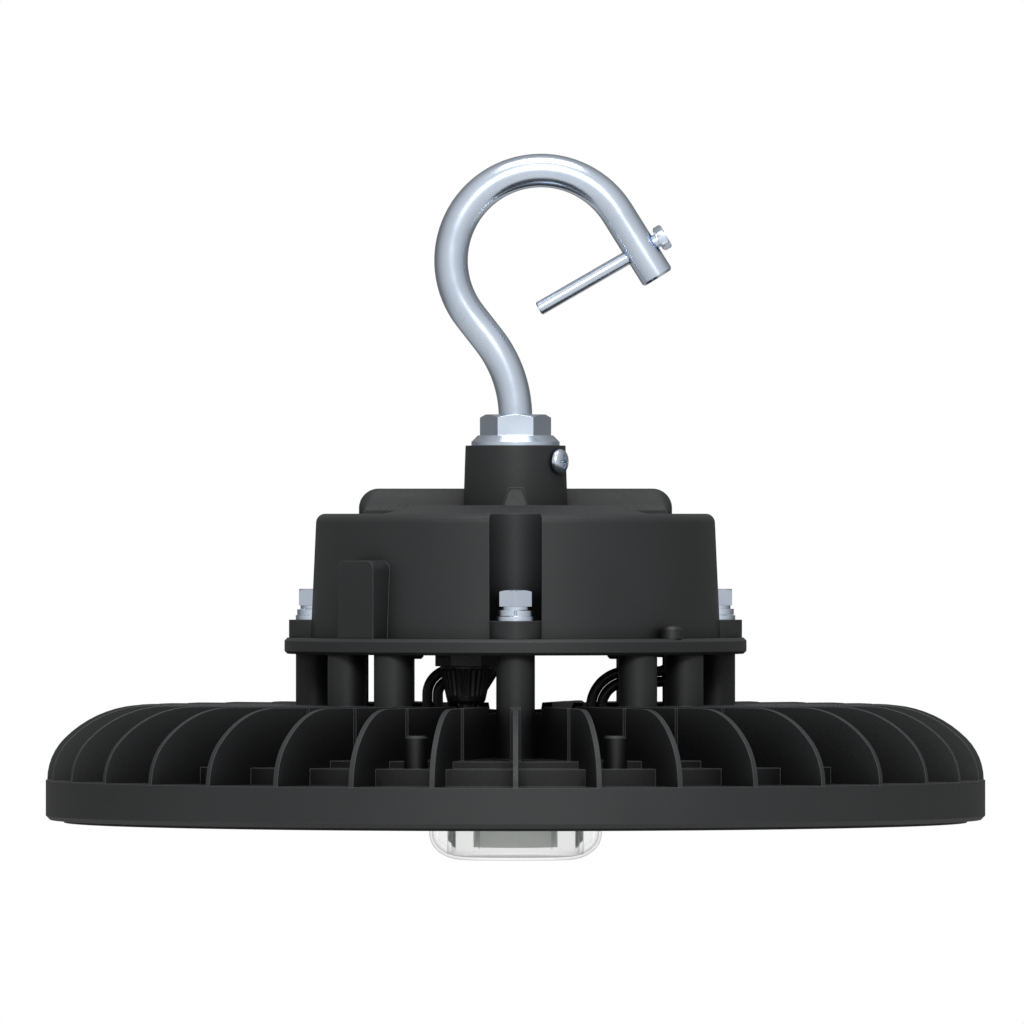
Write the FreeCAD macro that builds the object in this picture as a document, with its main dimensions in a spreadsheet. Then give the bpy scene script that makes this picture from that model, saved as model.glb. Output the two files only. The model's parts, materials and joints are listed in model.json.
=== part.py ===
"""Round LED high bay light: finned heatsink, driver housing, hook and sensor dome, in millimetres.

The frame has its origin on the light's axis at the bottom of the sensor dome, with +Z up and the
front towards -Y. The driving sizes are cells of the sheet "Sizes". A name in an expression below
is one of those cells, and formula() gives it the sheet's name.
"""

import FreeCAD, Part
import math
import os
import re
import Sketcher

Vector = FreeCAD.Vector
UP = Vector(0, 0, 1)
START, END, CENTRE = 1, 2, 3
ORIGIN = (-1, 1)
TINY = 1e-4

SIZES = {
    # Rim and plate of the heatsink
    "rim_radius": 167.5,
    "rim_wall": 6,
    "rim_bottom": 14.4,
    "rim_high": 14.1,
    "rim_bevel": 1.5,
    "ledge_deep": 6,
    "ledge_width": 16.5,
    "seat_deep": 7.6,
    "step_width": 14,
    "outer_step_high": 6,
    "inner_step_high": 2.5,
    # Fins
    "fin_count": 36,
    "fin_thick": 1.75,
    "fin_root_thick": 3.8,
    "fin_root_inset": 52.5,
    "fin_inner": 46.6,
    "fin_notch_radius": 64,
    "fin_notch_high": 16,
    "fin_step_high": 2.3,
    "fin_shoulder_inset": 35.5,
    "fin_inset": 0.5,
    "fin_toe_radius": 21,
    "fin_sink": 4,
    # Studs and posts cast on the heatsink
    "stud_radius": 4.1,
    "stud_out": 3,
    "stud_high": 9,
    "stud_angle": 15,
    "stud_bevel": 0.8,
    "post_radius": 6.85,
    "post_out": 2.1,
    "post_angle": 9.1,
    "post_high": 36.5,
    "post_depth": 20,
    # Driver base and housing
    "base_radius": 82.4,
    "base_thick": 5.7,
    "base_bevel": 1,
    "base_lip": 8.9,
    "housing_draft": 2,
    "housing_high": 44.2,
    "housing_round": 3.3,
    "housing_wall": 3,
    "roof_step_radius": 47,
    "roof_step_width": 10,
    "roof_rise": 2.9,
    "foot_flange": 5,
    "foot_flange_thick": 3,
    "groove_radius": 9.3,
    "lug_high": 6.4,
    "hump_inset": 15.5,
    "hump_high": 9,
    "hump_round": 7,
    "hump_near": 16,
    "hump_deep": 24,
    "eye_foot_width": 11,
    "eye_top_width": 5.4,
    "eye_high": 9.3,
    "eye_near": 25,
    "eye_deep": 8,
    "pad_inset": 2.4,
    "pad_width": 17.8,
    "pad_high": 27.5,
    "pad_round": 3,
    "boss_radius": 5,
    "boss_offset": 35.4,
    "boss_hole": 10,
    # Neck
    "neck_foot_radius": 18.55,
    "neck_draft": 0.7,
    "neck_high": 24.3,
    "neck_wall": 4.75,
    # Captive screws
    "screw_inset": 10.9,
    "screw_radius": 3,
    "screw_play": 0.3,
    "screw_reach": 14,
    "thread_play": 0.05,
    "washer_radius": 6.9,
    "washer_thick": 1.6,
    "spring_radius": 6.4,
    "spring_thick": 2.3,
    "collar_radius": 5.2,
    "collar_high": 1.2,
    "head_flats": 11.4,
    "head_high": 5.9,
    "head_bevel": 0.3,
    # Hook
    "rod_radius": 6,
    "hook_radius": 32.1,
    "hook_x": 9.1,
    "hook_rise": 66,
    "tip_slope": 58,
    "tip_long": 27.4,
    "shank_slope": 38,
    "shank_bend": 45,
    "rod_drop": 27.2,
    "rod_bevel": 0.8,
    "rod_play": 0.1,
    # Hook adapter with its nut, gate screw and lock screw
    "flange_inset": 2.1,
    "flange_thick": 3.6,
    "flange_bevel": 2.3,
    "hex_flats": 22,
    "hex_high": 7.5,
    "adapter_play": 0.1,
    "adapter_shank_long": 18,
    "nut_flats": 18,
    "nut_high": 6.5,
    "nut_washer_radius": 10.5,
    "nut_washer_thick": 1.6,
    "gate_radius": 2.5,
    "gate_slope": 30,
    "gate_from_tip": 11.7,
    "gate_long": 42,
    "gate_head_gap": 7,
    "gate_head_flats": 8,
    "gate_head_high": 3.5,
    "lock_angle": 56,
    "lock_drop": 5.7,
    "lock_radius": 2,
    "lock_head_radius": 4.4,
    "lock_head_high": 2.6,
    # Light engine under the plate
    "board_gap": 2,
    "board_hole_gap": 2,
    "led_board_thick": 1.6,
    "led_edge": 23,
    "led_pitch": 34,
    "led_turn": 5,
    "led_width": 5,
    "led_high": 0.8,
    "ring_gap": 0.5,
    "ring_width": 14,
    "ring_lip": 2.5,
    "ring_play": 0.6,
    "lens_overlap": 5,
    "lens_hole": 32,
    "lens_thick": 2.5,
    "lens_gasket_thick": 2,
    "lens_gasket_width": 5,
    "lens_screw_inset": 4.3,
    "lens_screw_count": 8,
    "small_screw_radius": 1.5,
    "small_screw_point": 0.3,
    "small_head_radius": 2.8,
    "small_head_high": 1.6,
    "small_head_bevel": 0.8,
    "small_screw_long": 6,
    "board_screw_inset": 40,
    "board_screw_count": 4,
    # Sensor below the light engine
    "cover_play": 1.2,
    "cover_wall": 1.5,
    "cover_round": 10,
    "sensor_flange_lip": 4,
    "sensor_flange_thick": 2.4,
    "sensor_gasket_thick": 1.2,
    "rib_play": 1.8,
    "sensor_rib_deep": 3.15,
    "sensor_rib_thick": 1.2,
    "sensor_rib_count": 12,
    "barrel_wall": 1.5,
    "barrel_bottom": 2,
    "barrel_step": 1.35,
    "sensor_hub_lip": 2.65,
    "sensor_cap_thick": 2,
    "sensor_board_level": 14,
    "sensor_board_thick": 1.6,
    "module_gap": 9.35,
    "sensor_module_bottom": 4.5,
    "sensor_screw_inset": 7.35,
    "sensor_screw_count": 3,
    # Leads and grommets
    "lead_radius": 1.85,
    "cable_radius": 2.5,
    "lead_play": 0.1,
    "pair_play": 0.03,
    "grommet_radius": 5,
    "small_grommet_radius": 3.4,
    "grommet_flange": 1.6,
    "grommet_flange_thick": 1.2,
    "lead_top": 80,
    "lead_bottom": 33,
    "led_lead_x": 28.7,
    "led_lead_y": -12,
    "led_lead_level": 67.3,
    "led_exit_inset": 7.8,
    "led_exit_bend": 4.4,
    "led_well_bend": 9.3,
    "left_pair_x": -29.6,
    "left_pair_y": 8,
    "left_pair_level": 67.8,
    "left_exit_x": -16,
    "left_exit_bend": 4.4,
    "left_well_bend": 5.2,
    "inner_lead_x": -21,
    "inner_lead_y": -2,
    "inner_exit_x": -7.5,
    "inner_bend": 9,
    "well_run_level": 46.5,
    "cable_bend": 8,
    # Cable gland
    "gland_x": -17.5,
    "gland_y": -34,
    "gland_thread": 8,
    "gland_flats": 19,
    "gland_hex_high": 4.2,
    "gland_cap_top_radius": 9.25,
    "gland_cap_foot_radius": 6.75,
    "gland_cap_high": 13.2,
    "gland_nut_high": 4,
    "gland_thread_end": 1,
    # Inside the driver housing
    "driver_board_x": 84,
    "driver_board_y": 46,
    "driver_board_shift": 5,
    "driver_board_thick": 1.6,
    "standoff_radius": 3.2,
    "standoff_high": 5,
    "standoff_inset": 4,
    "gasket_inset": 8.7,
    "gasket_width": 3,
    "gasket_thick": 1.5,
    "transformer_x": 32,
    "transformer_y": 30,
    "transformer_high": 26,
    "terminal_x": 8,
    "terminal_y": 20,
    "terminal_high": 11,
    "terminal_edge": 1,
    "choke_x": -27,
    "choke_inner": 4,
    "choke_outer": 10,
    "choke_high": 9,
    "can_x": -8,
    "can_y": 9,
    "can_radius": 5,
    "can_high": 24,
    "vent_inset": 4.4,
    "vent_radius": 3.9,
    "vent_high": 4.4,
    "vent_bevel": 1,
}

# Sizes that follow from the ones above, so that neighbours stay together when one of them changes
DERIVED = {
    "rim_inner": "rim_radius - rim_wall",
    "rim_top": "rim_bottom + rim_high",
    "ledge_level": "rim_bottom + ledge_deep",
    "ledge_inner": "rim_inner - ledge_width",
    "board_seat": "ledge_level + seat_deep",
    "inner_step_radius": "ledge_inner - step_width",
    "outer_step_top": "rim_top + outer_step_high",
    "plate_top": "outer_step_top + inner_step_high",
    "fin_root_radius": "rim_radius - fin_root_inset",
    "fin_shoulder": "rim_radius - fin_shoulder_inset",
    "fin_notch_top": "plate_top + fin_notch_high",
    "fin_top": "fin_notch_top + fin_step_high",
    "stud_ring": "inner_step_radius + stud_out",
    "stud_top": "plate_top + stud_high",
    "screw_ring": "base_radius - screw_inset",
    "post_ring": "screw_ring + post_out",
    "base_bottom": "plate_top + post_high",
    "foot_level": "base_bottom + base_thick",
    "lug_top": "foot_level + lug_high",
    "pad_top": "foot_level + pad_high",
    "pad_reach": "base_radius - pad_inset",
    "housing_foot_radius": "base_radius - base_lip",
    "housing_top_radius": "housing_foot_radius - housing_draft",
    "roof_level": "foot_level + housing_high",
    "hump_half_width": "housing_top_radius - hump_inset",
    "hump_top": "roof_level + hump_high",
    "eye_top": "roof_level + eye_high",
    "neck_top_radius": "neck_foot_radius - neck_draft",
    "neck_bore": "neck_top_radius - neck_wall",
    "neck_top": "roof_level + neck_high",
    "washer_top": "lug_top + washer_thick",
    "spring_top": "washer_top + spring_thick",
    "collar_top": "spring_top + collar_high",
    "adapter_shank_radius": "neck_bore - adapter_play",
    "adapter_bottom": "neck_top - adapter_shank_long",
    "flange_radius": "neck_top_radius - flange_inset",
    "flange_top": "neck_top + flange_thick",
    "hook_z": "neck_top + hook_rise",
    "rod_bottom": "neck_top - rod_drop",
    "lock_level": "neck_top - lock_drop",
    "ring_outer": "rim_inner - ring_gap",
    "ring_inner": "ring_outer - ring_width",
    "lens_radius": "ring_inner + lens_overlap",
    "lens_screw_ring": "ring_outer - lens_screw_inset",
    "lens_top": "ledge_level - lens_gasket_thick",
    "lens_bottom": "lens_top - lens_thick",
    "ring_bottom": "lens_bottom - ring_lip",
    "board_bottom": "board_seat - led_board_thick",
    "led_board_radius": "ledge_inner - board_gap",
    "board_screw_ring": "led_board_radius - board_screw_inset",
    "sensor_flange_radius": "lens_hole + sensor_flange_lip",
    "led_board_hole": "sensor_flange_radius + board_hole_gap",
    "sensor_flange_bottom": "lens_top + sensor_gasket_thick",
    "sensor_flange_top": "sensor_flange_bottom + sensor_flange_thick",
    "cover_radius": "lens_hole - cover_play",
    "sensor_rib_radius": "cover_radius - cover_wall - rib_play",
    "barrel_radius": "sensor_rib_radius - sensor_rib_deep",
    "sensor_hub_radius": "barrel_radius + sensor_hub_lip",
    "sensor_module_radius": "barrel_radius - module_gap",
    "sensor_screw_ring": "barrel_radius - sensor_screw_inset",
    "pair_pitch": "lead_radius + pair_play",
    "gland_bore": "cable_radius + lead_play",
    "gland_cap_bottom": "base_bottom - gland_hex_high - gland_cap_high",
    "gasket_inner": "housing_foot_radius - gasket_inset",
    "led_exit_x": "gasket_inner - led_exit_inset",
    "board_level": "foot_level + standoff_high",
    "parts_level": "board_level + driver_board_thick",
    "vent_ring": "base_radius - vent_inset",
}

LEDS_IN_RINGS = (28, 20, 12)
QUARTERS = (0, 90, 180, 270)
SIDES = (-1, 1)
HEX_CORNER = "/ (2 * cos(30))"

# Places where leads pass through the plate and through the driver base: x, y, radius, what passes
PLATE_GROMMETS = (
    ("led_lead_x", "led_lead_y", "grommet_radius", "pair"),
    ("left_pair_x", "left_pair_y", "grommet_radius", "pair"),
    ("inner_lead_x", "inner_lead_y", "small_grommet_radius", "lead"),
    ("0", "0", "grommet_radius", "cable"),
)
BASE_GROMMETS = (
    ("led_exit_x", "led_lead_y", "grommet_radius", "pair"),
    ("left_exit_x", "left_pair_y", "grommet_radius", "pair"),
    ("inner_exit_x", "inner_lead_y", "small_grommet_radius", "lead"),
)
# Bore radius of a grommet, and where its bores lie along X
GROMMET_BORES = {
    "pair": ("lead_radius", ("-pair_pitch", "pair_pitch")),
    "lead": ("lead_radius + lead_play", ("0",)),
    "cable": ("cable_radius + lead_play", ("0",)),
}

doc = FreeCAD.newDocument("HighBayLight")
sheet = doc.addObject("Spreadsheet::Sheet", "Sizes")
cells = {**SIZES, **{alias: "=" + text for alias, text in DERIVED.items()}}
for row, (alias, content) in enumerate(cells.items(), start=1):
    sheet.set(f"A{row}", alias)
    sheet.setAlias(f"B{row}", alias)
for row, content in enumerate(cells.values(), start=1):
    sheet.set(f"B{row}", str(content))
doc.recompute()


def formula(text):
    """Write an expression of cell names as FreeCAD reads it."""
    return re.sub(r"[a-z]\w*", lambda m: "Sizes." + m[0] if m[0] in cells else m[0], str(text))


def value(text):
    """Work out an expression of cell names as a plain number."""
    return float(sheet.evalExpression(formula(text)))


def bind(thing, **expressions):
    """Tie properties to the sheet; x, y and z stand for the placement's base."""
    for name, text in expressions.items():
        path = f"Placement.Base.{name}" if name in "xyz" else name
        thing.setExpression(path, formula(text))
    return thing


# Sketches


def sketch_on(body, plane, name, lift="0"):
    """Add a sketch on one of the body's own origin planes, lifted along its normal."""
    sketch = body.newObject("Sketcher::SketchObject", name)
    support = next(f for f in body.Origin.OriginFeatures if f.Role == plane + "_Plane")
    sketch.AttachmentSupport = [(support, "")]
    sketch.MapMode = "FlatFace"
    sketch.setExpression("AttachmentOffset.Base.z", formula(lift))
    doc.recompute()
    return sketch


def hold(sketch, kind, spots, text):
    """Add one dimension to a sketch and tie it to the sheet."""
    number = sketch.addConstraint(Sketcher.Constraint(kind, *spots, value(text)))
    sketch.setExpression(f"Constraints[{number}]", formula(text))


def place(sketch, spot, x, y):
    """Hold a sketch point at x, y from the sketch's origin."""
    hold(sketch, "DistanceX", ORIGIN + spot, x)
    hold(sketch, "DistanceY", ORIGIN + spot, y)


def outline(sketch, corners):
    """Draw a closed outline of straight lines through corners given as expressions."""
    spots = [Vector(value(x), value(y), 0) for x, y in corners]
    first = sketch.GeometryCount
    for here, there in zip(spots, spots[1:] + spots[:1]):
        sketch.addGeometry(Part.LineSegment(here, there))
    for index, (x, y) in enumerate(corners):
        before = first + (index - 1) % len(corners)
        sketch.addConstraint(Sketcher.Constraint("Coincident", before, END, first + index, START))
        place(sketch, (first + index, START), x, y)


def circle(sketch, x, y, radius):
    """Draw a circle with its centre and radius tied to the sheet."""
    middle = Vector(value(x), value(y), 0)
    number = sketch.addGeometry(Part.Circle(middle, UP, value(radius)))
    place(sketch, (number, CENTRE), x, y)
    hold(sketch, "Radius", (number,), radius)


# Features


def new_body(name):
    """Add an empty body whose label names the piece."""
    body = doc.addObject("PartDesign::Body", name)
    body.Label = name
    return body


def turn(body, corners, name, cut=False):
    """Turn an outline of (radius, level) corners about the Z axis, as material or as a cut."""
    sketch = sketch_on(body, "XZ", name + "_profile")
    outline(sketch, corners)
    feature = body.newObject("PartDesign::" + ("Groove" if cut else "Revolution"), name)
    feature.Profile = sketch
    feature.ReferenceAxis = (sketch, ["V_Axis"])
    feature.Angle = 360
    doc.recompute()
    return feature


def extrude(body, sketch, length, cut=False, reverse=False, midplane=False):
    """Pad or pocket a sketch by an expression."""
    feature = body.newObject("PartDesign::" + ("Pocket" if cut else "Pad"), sketch.Name + "_length")
    feature.Profile = sketch
    feature.Reversed = reverse
    if midplane:
        feature.SideType = "Symmetric"
    bind(feature, Length=length)
    doc.recompute()
    return feature


def repeat(body, features, count, sketch, axis="N_Axis"):
    """Repeat features round the Z axis."""
    pattern = body.newObject("PartDesign::PolarPattern", features[0].Name + "_pattern")
    pattern.Originals = features
    pattern.Axis = (sketch, [axis])
    pattern.Angle = 360
    bind(pattern, Occurrences=count)
    body.Tip = pattern
    doc.recompute()
    return pattern


def soften(body, kind, base, chosen, size):
    """Fillet or chamfer the base's edges for which chosen(edge) is true."""
    names = [f"Edge{n}" for n, edge in enumerate(base.Shape.Edges, start=1) if chosen(edge)]
    feature = body.newObject("PartDesign::" + kind, base.Name + "_" + kind.lower())
    feature.Base = (base, names)
    bind(feature, **{"Radius" if kind == "Fillet" else "Size": size})
    doc.recompute()
    return feature


def is_circle(edge, radius, level):
    """Tell whether an edge is a circle of this radius at this level."""
    if not isinstance(edge.Curve, Part.Circle):
        return False
    return abs(edge.Curve.Radius - value(radius)) < TINY and abs(edge.Curve.Center.z - value(level)) < TINY


def is_ring(edge, radius, level):
    """Tell whether an edge is a circle round the Z axis of this radius at this level."""
    return is_circle(edge, radius, level) and edge.Curve.Center.distanceToLine(Vector(), UP) < TINY


def turned(name, corners):
    """Make a body that is one turned outline."""
    body = new_body(name)
    turn(body, corners, name + "_turn")
    return body


def tube(name, inner, outer, bottom, high):
    """Make a flat or tall ring; an inner radius of 0 gives a disc."""
    top = f"({bottom}) + ({high})"
    return turned(name, [(inner, bottom), (outer, bottom), (outer, top), (inner, top)])


def cylinder(name, radius, high, x="0", y="0", z="0"):
    """Make a Part cylinder that stands on x, y, z."""
    solid = doc.addObject("Part::Cylinder", name)
    return bind(solid, Radius=radius, Height=high, x=x, y=y, z=z)


def box(name, sizes, x, y, z):
    """Make a Part box from its sizes and its low corner."""
    solid = doc.addObject("Part::Box", name)
    return bind(solid, Length=sizes[0], Width=sizes[1], Height=sizes[2], x=x, y=y, z=z)


def joined(name, pieces):
    """Fuse document objects."""
    solid = doc.addObject("Part::MultiFuse", name)
    solid.Shapes = pieces
    return solid


def less(name, base, tool):
    """Cut one document object from another."""
    solid = doc.addObject("Part::Cut", name)
    solid.Base = base
    solid.Tool = tool
    return solid


def copies(name, source, placements):
    """Group copies of one solid at several placements in one node."""
    doc.recompute()
    group = doc.addObject("Part::Feature", name)
    group.Shape = Part.makeCompound([moved(source.Shape, placement) for placement in placements])
    return group


def moved(shape, placement):
    """Copy a shape to another placement."""
    copy = shape.copy()
    copy.Placement = placement.multiply(copy.Placement)
    return copy


def round_axis(angles):
    """Give one placement for each angle about the Z axis."""
    return [FreeCAD.Placement(Vector(), FreeCAD.Rotation(UP, angle)) for angle in angles]


def evenly(count, first=0):
    """Give angles spread evenly over a full turn."""
    return [first + 360 * step / count for step in range(int(count))]


# Heatsink


def make_heatsink():
    """Cast heatsink: rim and stepped plate, fins, studs, posts, and the holes for screws and leads."""
    body = new_body("heatsink")
    plate = turn(
        body,
        [
            ("0", "board_seat"),
            ("ledge_inner", "board_seat"),
            ("ledge_inner", "ledge_level"),
            ("rim_inner", "ledge_level"),
            ("rim_inner", "rim_bottom"),
            ("rim_radius", "rim_bottom"),
            ("rim_radius", "rim_top"),
            ("ledge_inner", "rim_top"),
            ("ledge_inner", "outer_step_top"),
            ("inner_step_radius", "outer_step_top"),
            ("inner_step_radius", "plate_top"),
            ("0", "plate_top"),
        ],
        "plate",
    )
    soften(body, "Chamfer", plate, lambda e: is_ring(e, "rim_radius", "rim_bottom"), "rim_bevel")

    fin_sketch = sketch_on(body, "XZ", "fin")
    draw_fin(fin_sketch)
    fin = extrude(body, fin_sketch, "fin_thick", midplane=True)
    root_sketch = sketch_on(body, "XZ", "fin_root")
    outline(
        root_sketch,
        [
            ("fin_inner", "plate_top - fin_sink"),
            ("fin_root_radius", "plate_top - fin_sink"),
            ("fin_root_radius", "fin_top"),
            ("fin_notch_radius + fin_top - fin_notch_top", "fin_top"),
            ("fin_notch_radius", "fin_notch_top"),
            ("fin_inner", "fin_notch_top"),
        ],
    )
    root = extrude(body, root_sketch, "fin_root_thick", midplane=True)
    repeat(body, [fin, root], "fin_count", fin_sketch, "V_Axis")

    post_sketch = sketch_on(body, "XY", "post", "plate_top - fin_sink")
    circle(post_sketch, "screw_ring", "0", "post_radius")
    for side in SIDES:
        angle = f"(45 + {side} * post_angle)"
        circle(post_sketch, f"post_ring * cos({angle})", f"post_ring * sin({angle})", "post_radius")
    post = extrude(body, post_sketch, "post_high + fin_sink")
    repeat(body, [post], "4", post_sketch)

    stud_sketch = sketch_on(body, "XY", "stud", "plate_top - fin_sink")
    for side in SIDES:
        angle = f"({side} * stud_angle)"
        circle(stud_sketch, f"stud_ring * cos({angle})", f"stud_ring * sin({angle})", "stud_radius")
    stud = extrude(body, stud_sketch, "stud_high + fin_sink")
    studs = repeat(body, [stud], "4", stud_sketch)
    soften(body, "Chamfer", studs, lambda e: is_circle(e, "stud_radius", "stud_top"), "stud_bevel")

    hole_sketch = sketch_on(body, "XY", "post_hole", "base_bottom")
    circle(hole_sketch, "screw_ring", "0", "screw_radius + thread_play")
    hole = extrude(body, hole_sketch, "post_depth", cut=True)
    repeat(body, [hole], "4", hole_sketch)

    for name, ring, count, level in (
        ("lens_screw_hole", "lens_screw_ring", "lens_screw_count", "ledge_level"),
        ("board_screw_hole", "board_screw_ring", "board_screw_count", "board_seat"),
        ("sensor_screw_hole", "sensor_screw_ring", "sensor_screw_count", "board_seat"),
    ):
        sketch = sketch_on(body, "XY", name, level)
        circle(sketch, ring, "0", "small_screw_radius + thread_play")
        drilled = extrude(body, sketch, "small_screw_long", cut=True, reverse=True)
        repeat(body, [drilled], count, sketch)

    lead_sketch = sketch_on(body, "XY", "lead_hole", "plate_top")
    for x, y, radius, _ in PLATE_GROMMETS:
        circle(lead_sketch, x, y, radius)
    extrude(body, lead_sketch, "plate_top - board_seat", cut=True)
    return body


def draw_fin(sketch):
    """Draw one fin: straight inside, with a shoulder of two tangent arcs down to the rim."""
    toe = value("fin_toe_radius")
    foot = Vector(value("rim_radius - fin_inset"), value("rim_top"), 0)
    shoulder = Vector(value("fin_shoulder"), value("fin_top"), 0)
    across = foot.x - toe - shoulder.x
    drop = shoulder.y - foot.y
    crown = (across**2 + drop**2 - toe**2) / (2 * (drop - toe))
    crown_centre = Vector(shoulder.x, shoulder.y - crown, 0)
    toe_centre = Vector(foot.x - toe, foot.y, 0)
    joint = math.atan2(toe_centre.y - crown_centre.y, toe_centre.x - crown_centre.x)
    corners = [
        ("fin_inner", "plate_top - fin_sink"),
        ("fin_inner", "fin_notch_top"),
        ("fin_notch_radius", "fin_notch_top"),
        ("fin_notch_radius + fin_top - fin_notch_top", "fin_top"),
        ("fin_shoulder", "fin_top"),
    ]
    spots = [Vector(value(x), value(y), 0) for x, y in corners]
    for here, there in zip(spots, spots[1:]):
        sketch.addGeometry(Part.LineSegment(here, there))
    sketch.addGeometry(Part.ArcOfCircle(Part.Circle(crown_centre, UP, crown), joint, math.pi / 2))
    sketch.addGeometry(Part.ArcOfCircle(Part.Circle(toe_centre, UP, toe), 0, joint))
    ends = [
        ("rim_radius - fin_inset", "rim_top"),
        ("rim_radius - fin_inset", "rim_top - fin_sink"),
        ("ledge_inner + fin_sink", "rim_top - fin_sink"),
        ("ledge_inner - fin_sink", "plate_top - fin_sink"),
        corners[0],
    ]
    tail = [Vector(value(x), value(y), 0) for x, y in ends]
    for here, there in zip(tail, tail[1:]):
        sketch.addGeometry(Part.LineSegment(here, there))
    for index, (x, y) in enumerate(corners[:-1]):
        place(sketch, (index, START), x, y)
    place(sketch, (3, END), *corners[-1])
    for index in range(3):
        sketch.addConstraint(Sketcher.Constraint("Coincident", index, END, index + 1, START))
    crown_arc, toe_arc, wall = 4, 5, 6
    sketch.addConstraint(Sketcher.Constraint("Tangent", 3, END, crown_arc, END))
    sketch.addConstraint(Sketcher.Constraint("Tangent", crown_arc, START, toe_arc, END))
    sketch.addConstraint(Sketcher.Constraint("Tangent", toe_arc, START, wall, START))
    hold(sketch, "Radius", (toe_arc,), "fin_toe_radius")
    for index, (x, y) in enumerate(ends[:-1]):
        place(sketch, (wall + index, START), x, y)
    for index in range(wall, wall + 3):
        sketch.addConstraint(Sketcher.Constraint("Coincident", index, END, index + 1, START))
    sketch.addConstraint(Sketcher.Constraint("Coincident", wall + 3, END, 0, START))


# Driver housing and base


def make_housing():
    """Cast housing: tapered wall, screw grooves over lugs, neck, rear hump, eye lug and front pad."""
    body = new_body("housing_shell")
    shell = turn(
        body,
        [
            ("0", "foot_level"),
            ("housing_foot_radius", "foot_level"),
            ("housing_top_radius", "roof_level"),
            ("roof_step_radius", "roof_level"),
            ("roof_step_radius - roof_step_width", "roof_level + roof_rise"),
            ("neck_foot_radius", "roof_level + roof_rise"),
            ("neck_top_radius", "neck_top"),
            ("0", "neck_top"),
        ],
        "shell",
    )
    soften(body, "Fillet", shell, lambda e: is_ring(e, "housing_top_radius", "roof_level"), "housing_round")

    pad_sketch = sketch_on(body, "XY", "pad", "foot_level")
    corners = []
    for reach, side in (("pad_reach", 1), ("pad_reach", -1), ("base_radius / 2", -1), ("base_radius / 2", 1)):
        half = f"{side} * pad_width / 2"
        corners.append((f"({half} - {reach}) * cos(45)", f"(-{half} - {reach}) * cos(45)"))
    outline(pad_sketch, corners)
    pad = extrude(body, pad_sketch, "pad_high")
    outward = Vector(-1, -1, 0).normalize()
    soften(
        body,
        "Fillet",
        pad,
        lambda e: e.BoundBox.ZLength < TINY
        and abs(e.BoundBox.ZMax - value("pad_top")) < TINY
        and abs((e.Vertexes[-1].Point - e.Vertexes[0].Point).normalize().dot(outward)) > 1 - TINY,
        "pad_round",
    )

    hump_sketch = sketch_on(body, "XZ", "hump", "-hump_near")
    low = "roof_level - roof_rise"
    outline(
        hump_sketch,
        [
            ("-hump_half_width", low),
            ("hump_half_width", low),
            ("hump_half_width", "hump_top"),
            ("-hump_half_width", "hump_top"),
        ],
    )
    hump = extrude(body, hump_sketch, "hump_deep", reverse=True)
    soften(
        body,
        "Fillet",
        hump,
        lambda e: e.BoundBox.XLength < TINY
        and e.BoundBox.ZLength < TINY
        and abs(abs(e.BoundBox.XMax) - value("hump_half_width")) < TINY
        and abs(e.BoundBox.ZMax - value("hump_top")) < TINY,
        "hump_round",
    )

    eye_sketch = sketch_on(body, "XZ", "eye", "eye_near")
    outline(
        eye_sketch,
        [
            ("-eye_foot_width / 2", "roof_level"),
            ("eye_foot_width / 2", "roof_level"),
            ("eye_top_width / 2", "eye_top"),
            ("-eye_top_width / 2", "eye_top"),
        ],
    )
    extrude(body, eye_sketch, "eye_deep")

    lug_sketch = sketch_on(body, "XY", "lug", "foot_level")
    circle(lug_sketch, "screw_ring", "0", "groove_radius")
    lug = extrude(body, lug_sketch, "lug_high")
    repeat(body, [lug], "4", lug_sketch)
    tapped = "small_screw_radius + thread_play"
    for name, level, x, y, radius, deep in (
        ("groove", "lug_top", "screw_ring", "0", "groove_radius", "housing_high"),
        ("lug_hole", "foot_level", "screw_ring", "0", "screw_radius + screw_play", "housing_high"),
        ("boss_hole", "foot_level", "boss_offset", "boss_offset", tapped, "boss_hole"),
    ):
        sketch = sketch_on(body, "XY", name, level)
        circle(sketch, x, y, radius)
        cut = extrude(body, sketch, deep, cut=True, reverse=True)
        repeat(body, [cut], "4", sketch)

    inside = "housing_top_radius - housing_wall"
    room_high = "housing_high - foot_flange_thick - housing_wall"
    rooms = [
        cylinder("room", inside, room_high, z="foot_level + foot_flange_thick"),
        cylinder("mouth", inside + " - foot_flange", "housing_high / 2", z="foot_level"),
        cylinder("bore", "neck_bore", "neck_top", z="base_bottom + housing_high"),
    ]
    kept = []
    high = "housing_high - housing_wall"
    for angle in QUARTERS:
        column = f"screw_ring * cos({angle})", f"screw_ring * sin({angle})", "foot_level"
        kept.append(cylinder(f"column_{angle}", "groove_radius + housing_wall", high, *column))
        boss = *boss_spot(angle), "foot_level"
        kept.append(cylinder(f"boss_{angle}", "boss_radius", high, *boss))
    cavity = less("cavity", joined("rooms", rooms), joined("kept", kept))
    lock_radius = "lock_radius + thread_play"
    lock = along("lock_hole", lock_radius, lock_point(0), lock_direction(), "neck_top_radius * 2")
    return less("driver_housing", body, joined("housing_cuts", [cavity, lock]))


def boss_spot(angle):
    """Give x and y of the boss between two captive screws."""
    return f"boss_offset * (cos({angle}) - sin({angle}))", f"boss_offset * (sin({angle}) + cos({angle}))"


def along(name, radius, start, direction, length):
    """Make a Part cylinder from a point in a direction."""
    solid = bind(doc.addObject("Part::Cylinder", name), Radius=radius, Height=length)
    solid.Placement = FreeCAD.Placement(start, FreeCAD.Rotation(UP, direction))
    return solid


def lock_direction():
    """Give the direction from the neck's axis to its lock screw."""
    turn_by = math.radians(value("lock_angle"))
    return Vector(math.sin(turn_by), -math.cos(turn_by), 0)


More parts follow.
